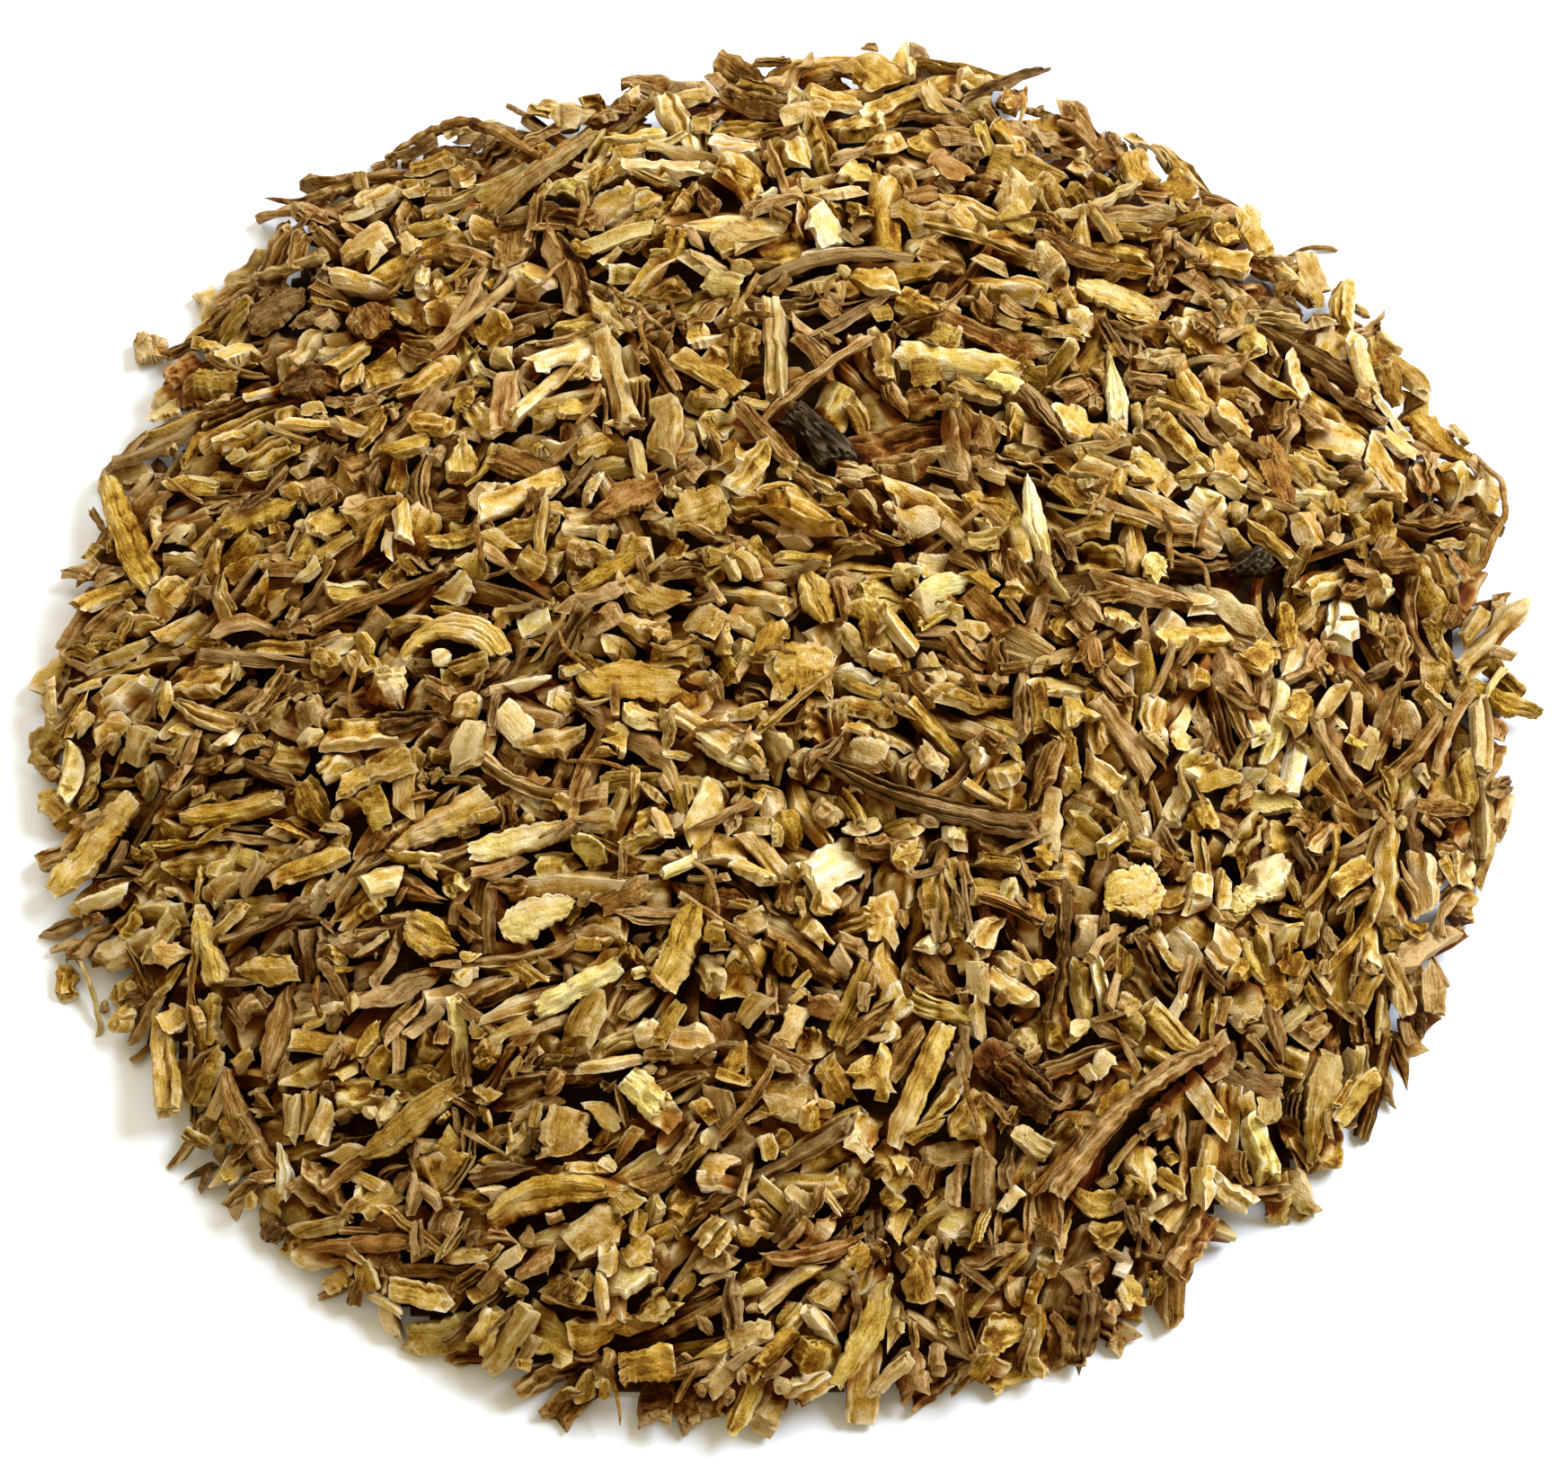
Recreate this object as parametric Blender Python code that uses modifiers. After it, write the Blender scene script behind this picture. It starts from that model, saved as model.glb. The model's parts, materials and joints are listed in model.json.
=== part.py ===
"""A heap of cut and dried dong quai root, as it lies where it was poured.

The heap is round, about 120 mm across and 17 mm high, with a flat underside. Its thousands of
small chips are one solid of their common form, with the chips in relief. The larger chips on
top of it are solids of their own. Each lies in a shallow seat of the heap, a hair above it.
+Z is up, +Y points away from the viewer, and the origin is under the middle of the heap.
"""

import math
from collections import namedtuple
from random import Random

import bmesh
import bpy
from mathutils import Matrix, Vector, geometry, noise

MM = 0.001
CORNERS = ((-1, -1), (1, -1), (1, 1), (-1, 1))

# The heap's form
HEAP_RADIUS = 59.3 * MM
RIM_WAVES = ((2, 0.9 * MM, 2.5), (3, 0.6 * MM, 1.1), (6, 0.7 * MM, 1.45), (7, 0.5 * MM, -3.0))
RIM_POINTS = 112
RIM_JAG = 1.1 * MM
RIM_HEIGHT = 1.3 * MM
DOME_HEIGHT = 14.6 * MM
DOME_POWER = 2.2
DOME_EASE = 0.9

# The small chips in relief
SMALL_CHIPS = 285
CHIP_TRIES = 30000
CHIP_LENGTH = (4.0 * MM, 9.0 * MM)
CHIP_WIDTH = (2.2 * MM, 3.8 * MM)
SMALLEST = 0.45
CORNER_PULL = (0.78, 1.0)
CHIP_RISE = (0.2 * MM, 1.5 * MM)
CHIP_TILT = 0.16
GAP_DEPTH = (0.7 * MM, 1.5 * MM)
GAP_WIDTH = 0.32 * MM
LEAST_FLOOR = 0.5 * MM

# The seats of the large chips
CLEARANCE = 0.35 * MM
SEAT_MARGIN = 0.32 * MM
SLOPE_STEP = 1.5 * MM
STEEPEST = 0.42
FLOOR_GAP = 0.9 * MM
TOUCH = 0.01 * MM

FINISHES = {
    "straw": ((0.66, 0.50, 0.21), 0.55),
    "cream": ((0.72, 0.60, 0.33), 0.60),
    "gold": ((0.50, 0.32, 0.09), 0.50),
    "olive": ((0.34, 0.26, 0.10), 0.55),
    "bark": ((0.24, 0.13, 0.05), 0.60),
    "russet": ((0.27, 0.12, 0.06), 0.55),
    "umber": ((0.13, 0.08, 0.04), 0.65),
    "soot": ((0.035, 0.03, 0.022), 0.70),
    "mixed": ((0.36, 0.24, 0.09), 0.58),
}

# Places and sizes in millimetres, turns in degrees from +X. Bend is how far a long piece turns
# between its two ends.
Chip = namedtuple("Chip", "name kind x y turn length width thick finish bend", defaults=(0,))
LARGE_CHIPS = (
    Chip("long_dark_splinter", "stick", 10.6, -15.2, -17, 18.6, 2.8, 2.0, "umber", 14),
    Chip("long_brown_stick", "stick", -19.9, 45.4, 47, 14.1, 2.2, 1.7, "bark", -8),
    Chip("ridged_dark_chunk", "stick", 17.5, -36.4, -40, 7.5, 3.8, 2.4, "umber"),
    Chip("left_gold_wedge", "splinter", -52.9, 13.2, -65, 13.2, 2.7, 1.7, "gold", 16),
    Chip("gold_slab", "splinter", -42.1, 12.4, 8, 7.5, 3.0, 1.3, "gold"),
    Chip("pale_round_stick", "splinter", -26.7, -16.7, 28, 9.4, 2.8, 1.9, "straw", 12),
    Chip("cream_stick", "splinter", -20.3, -18.3, 11, 7.5, 2.4, 1.7, "cream"),
    Chip("left_gold_slab", "splinter", -42.8, -13.3, 3, 8.7, 2.3, 1.6, "gold", 6),
    Chip("left_rim_slab", "splinter", -54.0, -14.2, 40, 9.6, 3.4, 1.4, "straw"),
    Chip("grained_gold_block", "splinter", -7.8, -27.1, 67, 7.0, 2.7, 1.7, "gold"),
    Chip("cream_bar", "splinter", -15.6, -29.8, 28, 7.4, 2.0, 1.3, "cream", 8),
    Chip("gold_upright_low", "splinter", -47.6, -32.0, -83, 8.4, 2.3, 1.9, "gold"),
    Chip("gold_upright_high", "splinter", -44.5, -23.6, -77, 6.6, 2.3, 1.7, "straw"),
    Chip("tan_bent_stick", "splinter", -41.0, -37.6, -66, 9.2, 1.9, 1.5, "bark", 28),
    Chip("bark_backed_slab", "splinter", -28.1, -38.8, 33, 9.1, 2.8, 1.6, "olive"),
    Chip("pale_fork", "splinter", 20.0, 6.9, -75, 11.2, 1.9, 1.4, "cream", 14),
    Chip("pale_spindle", "splinter", 26.5, 21.4, -87, 8.2, 2.0, 1.5, "cream"),
    Chip("pale_green_slab", "splinter", 27.1, 31.3, -13, 7.3, 2.7, 1.2, "straw"),
    Chip("dark_slab_right", "splinter", 42.7, 28.3, -25, 9.7, 1.8, 1.4, "umber"),
    Chip("right_rim_wedge", "splinter", 53.3, 22.2, -35, 5.8, 2.6, 1.5, "gold"),
    Chip("jutting_right_chip", "splinter", 57.0, -1.0, -14, 7.2, 2.3, 1.3, "gold"),
    Chip("long_gold_bar", "splinter", 10.1, -37.1, 66, 10.2, 2.3, 1.7, "straw"),
    Chip("long_yellow_leaf", "splinter", 6.1, -54.4, 59, 9.2, 2.8, 1.3, "straw", 10),
    Chip("russet_splinter", "splinter", -31.9, -47.2, 2, 8.6, 1.7, 1.3, "russet"),
    Chip("gold_point", "splinter", -13.5, 4.0, 27, 6.8, 1.8, 1.3, "gold"),
    Chip("pale_needle", "splinter", -4.2, -12.2, -27, 6.2, 1.3, 1.1, "cream"),
    Chip("olive_bar", "splinter", 5.0, -31.2, 64, 6.6, 1.7, 1.4, "olive"),
    Chip("curled_pale_slice", "curl", -25.4, -1.2, -5, 10.0, 2.5, 1.5, "straw", -140),
    Chip("gold_curved_stub", "curl", -17.2, -44.7, 14, 11.0, 2.5, 2.0, "gold", -52),
    Chip("square_slice", "slice", 1.3, -4.9, 0, 5.8, 5.0, 0.8, "gold"),
    Chip("amber_slice", "slice", -6.4, 8.8, 19, 4.8, 4.2, 0.9, "olive"),
    Chip("olive_slice", "slice", -41.6, 33.1, 23, 5.6, 4.0, 0.9, "umber"),
    Chip("white_flake", "slice", 12.3, 2.6, 19, 5.5, 2.5, 0.6, "cream"),
    Chip("ruffled_flake", "slice", -11.9, -5.6, -2, 8.6, 3.7, 0.8, "gold"),
    Chip("cream_flake", "slice", -18.6, -24.2, 19, 6.4, 3.2, 0.8, "cream"),
    Chip("white_shard", "slice", 36.2, -20.5, 43, 7.4, 3.6, 0.9, "cream"),
    Chip("tan_tile", "slice", 26.4, -22.1, 27, 5.4, 4.2, 1.2, "straw"),
    Chip("tan_long_flake", "slice", 40.9, -36.1, -97, 9.4, 2.6, 0.9, "olive"),
    Chip("russet_slab_left", "slice", -12.6, 10.3, 25, 6.6, 2.7, 0.9, "russet"),
    Chip("russet_slab_right", "slice", 39.2, 15.6, -82, 6.5, 2.7, 1.0, "russet"),
    Chip("dark_brown_block", "block", -38.1, 24.2, 4, 5.3, 4.2, 2.4, "umber"),
    Chip("wrinkled_brown_chunk", "block", -33.4, 29.6, -58, 6.0, 3.8, 2.2, "bark"),
    Chip("pale_cube", "block", -30.6, -5.2, 17, 4.1, 3.5, 2.6, "straw"),
    Chip("pale_tooth", "block", -25.3, 14.9, -94, 4.6, 2.7, 2.0, "straw"),
    Chip("outlying_block", "block", -52.6, 32.2, 11, 3.1, 2.9, 2.4, "gold"),
    Chip("rim_brown_block", "block", -46.6, 26.4, -4, 6.0, 3.0, 2.0, "olive"),
    Chip("gold_lobe", "block", 2.6, 1.0, -68, 5.0, 3.0, 1.6, "gold"),
    Chip("striped_chip", "block", 30.2, 25.4, 20, 4.6, 2.3, 1.3, "olive"),
    Chip("yellow_cube", "block", 47.1, 6.2, 21, 2.9, 2.7, 2.0, "straw"),
    Chip("gold_wrinkled_block", "block", -26.6, -25.4, -23, 5.4, 3.8, 2.2, "gold"),
    Chip("cream_brick", "block", -9.9, -38.4, -43, 5.5, 2.9, 2.2, "cream"),
    Chip("gold_stump", "block", 29.0, 46.1, -79, 5.8, 3.2, 2.6, "gold"),
    Chip("bottom_lump", "block", -10.2, -56.6, 7, 4.6, 3.6, 2.6, "gold"),
    Chip("black_crumb_large", "crumb", 2.7, 15.4, -48, 6.6, 3.6, 2.4, "soot"),
    Chip("black_crumb_right", "crumb", 36.3, 6.2, 34, 4.2, 3.0, 2.2, "soot"),
    Chip("long_curved_root", "rootlet", 26.4, -37.9, -136, 19.0, 1.9, 1.9, "bark", 34),
    Chip("grey_upright_twig", "rootlet", 20.9, -26.6, -93, 11.6, 1.5, 1.5, "umber", -10),
    Chip("brown_root_left", "rootlet", -31.6, 2.8, 14, 12.1, 1.4, 1.4, "bark", -16),
)

# How the pieces of each kind are shaped: shares of their own length, width or thickness
SPLINTER_CORNERS = 6
SPLINTER_RIDGES = 0.10
STICK_CORNERS = 8
STICK_RIDGES = 0.34
RINGS = 5
BOXINESS = 0.7
CORNER_SPREAD = 0.24
END_TAPER = (0.1, 0.6)
END_SLANT = 0.35
UNEVENNESS = 0.06
SLICE_CURL = (0.10, 0.22)
SLICE_EDGE = (0.80, 1.04)
BLOCK_CORNERS = (0.74, 1.0)
WORN_EDGE = 0.06
CRUMB_KNOBS = 0.42
CRUMB_KNOBS_ACROSS = 3.1
ROOTLET_POINTS = 7
ROOTLET_WAVER = 0.12
ROOTLET_TAPER = 0.42


def rim_radius(angle):
    """Distance from the middle to the rim, before the chips there make it ragged."""
    return HEAP_RADIUS + sum(size * math.cos(count * angle - lag) for count, size, lag in RIM_WAVES)


def dome(x, y):
    """Mean height of the heap's surface, which is flat on top and steepest at the rim."""
    share = math.hypot(x, y) / rim_radius(math.atan2(y, x))
    fall = max(0.0, 1.0 - share**DOME_POWER)
    return RIM_HEIGHT + DOME_HEIGHT * fall**DOME_EASE


def slope(x, y):
    """How fast the dome rises along X and along Y."""
    along_x = (dome(x + SLOPE_STEP, y) - dome(x - SLOPE_STEP, y)) / (2 * SLOPE_STEP)
    along_y = (dome(x, y + SLOPE_STEP) - dome(x, y - SLOPE_STEP)) / (2 * SLOPE_STEP)
    ease = min(1.0, STEEPEST / max(1e-6, math.hypot(along_x, along_y)))
    return along_x * ease, along_y * ease


def clear_scene():
    for old in list(bpy.data.objects):
        bpy.data.objects.remove(old)


def finish_material(name):
    """The Principled material of one finish, made once."""
    material = bpy.data.materials.get(name)
    if material is None:
        material = bpy.data.materials.new(name)
        material.use_nodes = True
        colour, roughness = FINISHES[name]
        shader = material.node_tree.nodes["Principled BSDF"]
        shader.inputs["Base Color"].default_value = (*colour, 1.0)
        shader.inputs["Roughness"].default_value = roughness
        shader.inputs["Metallic"].default_value = 0.0
    return material


def object_from(bm, name, finish, collection, smooth_below=35):
    """A mesh object of what bm holds, with its faces pointing out and its corners sharp."""
    bmesh.ops.recalc_face_normals(bm, faces=bm.faces)
    mesh = bpy.data.meshes.new(name)
    bm.to_mesh(mesh)
    bm.free()
    mesh.shade_smooth()
    mesh.set_sharp_from_angle(angle=math.radians(smooth_below))
    mesh.materials.append(finish_material(finish))
    made = bpy.data.objects.new(name, mesh)
    collection.objects.link(made)
    return made


def loft(bm, rings):
    """Joins closed rings of equally many points into one skin and closes both ends."""
    rows = [[bm.verts.new(point) for point in ring] for ring in rings]
    for near, far in zip(rows, rows[1:]):
        for k in range(len(near)):
            after = (k + 1) % len(near)
            bm.faces.new((near[k], near[after], far[after], far[k]))
    bm.faces.new(list(reversed(rows[0])))
    bm.faces.new(rows[-1])


def along_arc(length, bend, share):
    """Place and heading on a line of that length that turns by bend, share 0 to 1 of the way."""
    if abs(bend) < 1e-3:
        return Vector((length * (share - 0.5), 0, 0)), 0.0
    radius = length / bend
    heading = bend * (share - 0.5)
    return Vector((radius * math.sin(heading), radius * (1 - math.cos(heading)), 0)), heading


def squared(value):
    """Pushes a sine or cosine outwards, which makes a round section boxy."""
    return math.copysign(abs(value) ** BOXINESS, value)


def split_piece(bm, chip, rng, corners, ridge):
    """A piece split along its grain: boxy in section, and thinner towards both ends."""
    shifts = [rng.uniform(-CORNER_SPREAD, CORNER_SPREAD) for _ in range(corners)]
    phases = [2 * math.pi * (k + shift) / corners for k, shift in enumerate(shifts)]
    reach = [1 - ridge * (k % 2) * rng.uniform(0.4, 1.0) for k in range(corners)]
    tapers = rng.uniform(*END_TAPER), rng.uniform(*END_TAPER)
    rings = []
    for step in range(RINGS + 1):
        share = step / RINGS
        end = abs(2 * share - 1)
        size = 1 - tapers[share > 0.5] * end**3 + rng.uniform(-UNEVENNESS, UNEVENNESS)
        middle, heading = along_arc(chip.length * MM, math.radians(chip.bend), share)
        across = Vector((-math.sin(heading), math.cos(heading), 0))
        cut = rng.uniform(-END_SLANT, END_SLANT) if step in (0, RINGS) else 0
        ring = []
        for phase, out in zip(phases, reach):
            side = squared(math.cos(phase)) * out * size * chip.width * MM / 2
            rise = squared(math.sin(phase)) * out * size * chip.thick * MM / 2
            slant = Vector((math.cos(heading), math.sin(heading), 0)) * side * cut
            ring.append(middle + across * side + slant + Vector((0, 0, rise)))
        rings.append(ring)
    loft(bm, rings)


def splinter(chip, rng, collection):
    bm = bmesh.new()
    split_piece(bm, chip, rng, SPLINTER_CORNERS, SPLINTER_RIDGES)
    return object_from(bm, chip.name, chip.finish, collection)


def stick(chip, rng, collection):
    """A thicker piece that kept its bark, with deep furrows from drying."""
    bm = bmesh.new()
    split_piece(bm, chip, rng, STICK_CORNERS, STICK_RIDGES)
    return object_from(bm, chip.name, chip.finish, collection)


def slice_of_root(chip, rng, collection):
    """A thin cut slice: a curled sheet with an uneven outline, given its thickness by Solidify."""
    bm = bmesh.new()
    bmesh.ops.create_grid(bm, x_segments=4, y_segments=3, size=0.5)
    curl = rng.uniform(*SLICE_CURL) * rng.choice((-1, 1))
    for vert in bm.verts:
        u, v = vert.co.x, vert.co.y
        pull = rng.uniform(*SLICE_EDGE) if vert.is_boundary else 1.0
        rise = 2 * curl * v * v * chip.width
        vert.co = Vector((u * chip.length * pull, v * chip.width * pull, rise)) * MM
    made = object_from(bm, chip.name, chip.finish, collection)
    shell = made.modifiers.new("thickness", "SOLIDIFY")
    shell.thickness = chip.thick * MM
    shell.offset = 0
    return made


def block(chip, rng, collection):
    """A piece cut square across its grain: a box with uneven corners and worn edges."""
    bm = bmesh.new()
    bmesh.ops.create_cube(bm, size=1.0)
    size = Vector((chip.length, chip.width, chip.thick)) * MM
    for vert in bm.verts:
        pull = [rng.uniform(*BLOCK_CORNERS) for _ in range(3)]
        vert.co = Vector(vert.co[k] * size[k] * pull[k] for k in range(3))
    made = object_from(bm, chip.name, chip.finish, collection)
    worn = made.modifiers.new("worn_edges", "BEVEL")
    worn.width = WORN_EDGE * chip.thick * MM
    worn.segments = 1
    return made


def crumb(chip, rng, collection):
    """A lump of root crown: a ball pressed flat, with pits and knobs."""
    bm = bmesh.new()
    bmesh.ops.create_icosphere(bm, subdivisions=2, radius=0.5)
    shift = Vector([rng.uniform(0, 50) for _ in range(3)])
    size = Vector((chip.length, chip.width, chip.thick)) * MM
    for vert in bm.verts:
        bump = 1 + CRUMB_KNOBS * noise.noise(vert.co * CRUMB_KNOBS_ACROSS + shift)
        vert.co = Vector(vert.co[k] * size[k] * bump for k in range(3))
    return object_from(bm, chip.name, chip.finish, collection)


def rootlet(chip, rng, collection):
    """A thin dried root: a tube along a wavering arc, tapered towards its far end."""
    curve = bpy.data.curves.new(chip.name, "CURVE")
    curve.dimensions = "3D"
    curve.bevel_depth = chip.width * MM / 2
    curve.bevel_resolution = 1
    curve.use_fill_caps = True
    line = curve.splines.new("POLY")
    line.points.add(ROOTLET_POINTS - 1)
    for k, point in enumerate(line.points):
        share = k / (ROOTLET_POINTS - 1)
        place, _ = along_arc(chip.length * MM, math.radians(chip.bend), share)
        waver = rng.uniform(-ROOTLET_WAVER, ROOTLET_WAVER) * chip.width * MM
        point.co = (place.x, place.y + waver, 0, 1)
        point.radius = 1 - ROOTLET_TAPER * share + rng.uniform(-UNEVENNESS, UNEVENNESS)
    curve.materials.append(finish_material(chip.finish))
    made = bpy.data.objects.new(chip.name, curve)
    collection.objects.link(made)
    return made


BUILDERS = {
    "stick": stick,
    "splinter": splinter,
    "curl": splinter,
    "slice": slice_of_root,
    "block": block,
    "crumb": crumb,
    "rootlet": rootlet,
}


def own_points(made):
    """The piece's points in its own axes, with its modifiers."""
    evaluated = made.evaluated_get(bpy.context.evaluated_depsgraph_get())
    mesh = evaluated.to_mesh()
    points = [vert.co.copy() for vert in mesh.vertices]
    evaluated.to_mesh_clear()
    return points


def lay_down(chip, made):
    """Lays a piece on the dome, turned and tilted with it. Returns its seat's four corners."""
    bpy.context.view_layer.update()
    points = own_points(made)
    low = Vector([min(p[k] for p in points) for k in range(3)])
    high = Vector([max(p[k] for p in points) for k in range(3)])
    x, y = chip.x * MM, chip.y * MM
    outlying = math.hypot(x, y) > rim_radius(math.atan2(y, x)) + chip.width * MM / 2
    rise_x, rise_y = (0, 0) if outlying else slope(x, y)
    up = Vector((-rise_x, -rise_y, 1)).normalized()
    tilt = Vector((0, 0, 1)).rotation_difference(up).to_matrix().to_4x4()
    turn = Matrix.Rotation(math.radians(chip.turn), 4, "Z")
    centred = Matrix.Translation((-(low.x + high.x) / 2, -(low.y + high.y) / 2, -low.z))
    laid = tilt @ turn @ centred
    dip = min((laid @ point).z for point in points)
    ground = -dip if outlying else max(dome(x, y), FLOOR_GAP - dip)
    made.matrix_world = Matrix.Translation((x, y, ground)) @ laid
    if outlying:
        return None
    half_x = (high.x - low.x) / 2 + SEAT_MARGIN
    half_y = (high.y - low.y) / 2 + SEAT_MARGIN
    place = Matrix.Translation((x, y, ground)) @ tilt @ turn
    return [place @ Vector((a * half_x, b * half_y, -CLEARANCE)) for a, b in CORNERS]


def flat_box(corners):
    """Middle, reach and the corners in plan of a four-cornered outline."""
    plan = [Vector((p.x, p.y)) for p in corners]
    middle = sum(plan, Vector((0, 0))) / 4
    return middle, max((p - middle).length for p in plan), plan


def apart(first, second):
    """True if two convex outlines in plan don't meet."""
    if (first[0] - second[0]).length > first[1] + second[1]:
        return True
    for own, other in ((first[2], second[2]), (second[2], first[2])):
        for a, b in zip(own, own[1:] + own[:1]):
            normal = Vector((b.y - a.y, a.x - b.x))
            if max((p - a).dot(normal) for p in own) <= min((p - a).dot(normal) for p in other):
                return True
    return False


def grown(corners, by):
    """The outline with each corner moved outwards from its middle."""
    middle = sum(corners, Vector((0, 0, 0))) / len(corners)
    moved = []
    for p in corners:
        out = Vector((p.x - middle.x, p.y - middle.y, 0))
        moved.append(p + out.normalized() * by * math.sqrt(2))
    return moved


def inside_rim(corners, margin):
    """True if every corner is at least that far inside the rim."""
    return all(math.hypot(p.x, p.y) < rim_radius(math.atan2(p.y, p.x)) - margin for p in corners)


def scatter_small_chips(rng, taken):
    """Outlines of the small chips' upper faces, clear of each other and of the seats."""
    found = []
    for attempt in range(CHIP_TRIES):
        if len(found) == SMALL_CHIPS:
            break
        size = 1 - (1 - SMALLEST) * attempt / CHIP_TRIES
        angle = rng.uniform(0, 2 * math.pi)
        away = rim_radius(angle) * math.sqrt(rng.random())
        x, y = away * math.cos(angle), away * math.sin(angle)
        turn = rng.uniform(0, math.pi)
        along = Vector((math.cos(turn), math.sin(turn), 0))
        across = Vector((-math.sin(turn), math.cos(turn), 0))
        length, width = size * rng.uniform(*CHIP_LENGTH), size * rng.uniform(*CHIP_WIDTH)
        rise = rng.uniform(*CHIP_RISE)
        tilts = rng.uniform(-CHIP_TILT, CHIP_TILT), rng.uniform(-CHIP_TILT, CHIP_TILT)
        corners = []
        for a, b in CORNERS:
            a *= length / 2 * rng.uniform(*CORNER_PULL)
            b *= width / 2 * rng.uniform(*CORNER_PULL)
            place = Vector((x, y, 0)) + along * a + across * b
            place.z = dome(place.x, place.y) + rise + tilts[0] * a + tilts[1] * b
            corners.append(place)
        if not inside_rim(corners, 2 * GAP_WIDTH):
            continue
        outline = flat_box(grown(corners, GAP_WIDTH))
        if all(apart(outline, other) for other in taken):
            taken.append(outline)
            found.append(corners)
    return found


def heap_outline(rng):
    """The ragged rim in plan, with the height of its upper edge."""
    points = []
    for k in range(RIM_POINTS):
        angle = 2 * math.pi * k / RIM_POINTS
        away = rim_radius(angle) + rng.uniform(-RIM_JAG, RIM_JAG)
        height = RIM_HEIGHT * rng.uniform(0.7, 1.1)
        points.append(Vector((away * math.cos(angle), away * math.sin(angle), height)))
    return points


def within(point, outline):
    """True if a point in plan is inside a closed outline."""
    hits = False
    for a, b in zip(outline, outline[1:] + outline[:1]):
        if (a.y > point.y) != (b.y > point.y):
            if point.x < a.x + (point.y - a.y) / (b.y - a.y) * (b.x - a.x):
                hits = not hits
    return hits


def seat_height(seat, x, y):
    """Height of a seat's plane over a place in plan."""
    normal = (seat[1] - seat[0]).cross(seat[3] - seat[0])
    return seat[0].z - ((x - seat[0].x) * normal.x + (y - seat[0].y) * normal.y) / normal.z


def surface_height(place, height, seats):
    """The height wanted at a place, or that of the lowest seat over it if that is lower."""
    for outline, seat in seats:
        if (outline[0] - place).length < outline[1] and within(place, outline[2]):
            height = min(height, seat_height(seat, place.x, place.y))
    return max(height, LEAST_FLOOR)


def small_chips(seats, collection):
    """The mass of small chips: one closed solid, with chips in relief and seats for the large ones."""
    rng = Random("small chips")
    rim = heap_outline(rng)
    seats = [seat for seat in seats if seat]
    seat_outlines = [(flat_box(grown(seat, TOUCH)), seat) for seat in seats]
    taken = [flat_box(grown(seat, GAP_WIDTH)) for seat in seats]
    faces_on_top = seats + scatter_small_chips(rng, taken)
    places = list(rim)
    edges = [(k, (k + 1) % RIM_POINTS) for k in range(RIM_POINTS)]
    for corners in faces_on_top:
        first = len(places)
        places.extend(corners)
        edges.extend((first + k, first + (k + 1) % 4) for k in range(4))
        for foot in grown(corners, GAP_WIDTH):
            foot.z = dome(foot.x, foot.y) - rng.uniform(*GAP_DEPTH)
            places.append(foot)
    plan = [Vector((place.x, place.y)) for place in places]
    points, _, faces, sources, _, _ = geometry.delaunay_2d_cdt(plan, edges, [], 0, 1e-9)
    bm = bmesh.new()
    tops = []
    for point, source in zip(points, sources):
        wanted = places[source[0]].z if source else dome(point.x, point.y)
        height = surface_height(point, wanted, seat_outlines)
        tops.append(bm.verts.new((point.x, point.y, height)))
    for face in faces:
        middle = sum((points[k] for k in face), Vector((0, 0))) / len(face)
        if within(middle, rim):
            bm.faces.new([tops[k] for k in face])
    bmesh.ops.delete(bm, geom=[vert for vert in bm.verts if not vert.link_faces], context="VERTS")
    border = [edge for edge in bm.edges if edge.is_boundary]
    wall = bmesh.ops.extrude_edge_only(bm, edges=border)["geom"]
    for foot in wall:
        if isinstance(foot, bmesh.types.BMVert):
            foot.co.z = 0
    bmesh.ops.contextual_create(bm, geom=[edge for edge in bm.edges if edge.is_boundary])
    bmesh.ops.triangulate(bm, faces=[face for face in bm.faces if len(face.verts) > 4])
    return object_from(bm, "small_chips", "mixed", collection, smooth_below=20)


def stand_on_origin(objects):
    """Moves everything so that the origin is under the middle of the whole."""
    bpy.context.view_layer.update()
    points = [made.matrix_world @ point for made in objects for point in own_points(made)]
    low = Vector([min(p[k] for p in points) for k in range(3)])
    high = Vector([max(p[k] for p in points) for k in range(3)])
    shift = Matrix.Translation((-(low.x + high.x) / 2, -(low.y + high.y) / 2, -low.z))
    for made in objects:
        made.matrix_world = shift @ made.matrix_world


def main():
    clear_scene()
    collection = bpy.data.collections.new("dong_quai_root_heap")
    bpy.context.scene.collection.children.link(collection)
    large, seats = [], []
    for chip in LARGE_CHIPS:
        made = BUILDERS[chip.kind](chip, Random(chip.name), collection)
        large.append(made)
        seats.append(lay_down(chip, made))
    heap = small_chips(seats, collection)
    stand_on_origin([heap, *large])


main()
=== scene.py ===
# %% [markdown]
# # A heap of cut dong quai root
#
# Dried root is chopped, sifted and poured out. The heap that this makes is a few thousand chips:
# splinters along the grain, thin curled slices, squarish blocks, wrinkled rootlets, and dark
# crumbs of the root's crown. None of them repeats another, and that is what the eye checks.
#
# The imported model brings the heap's form and its large chips as plain solids. This lesson keeps
# their places and gives each of them a real surface. Then it pours the small chips on again, one
# by one, so that each lies on the ones below it.

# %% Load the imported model
import functools
import json
import math
import time

import bmesh
import bpy
import numpy as np
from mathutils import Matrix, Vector
from mathutils.bvhtree import BVHTree


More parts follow.
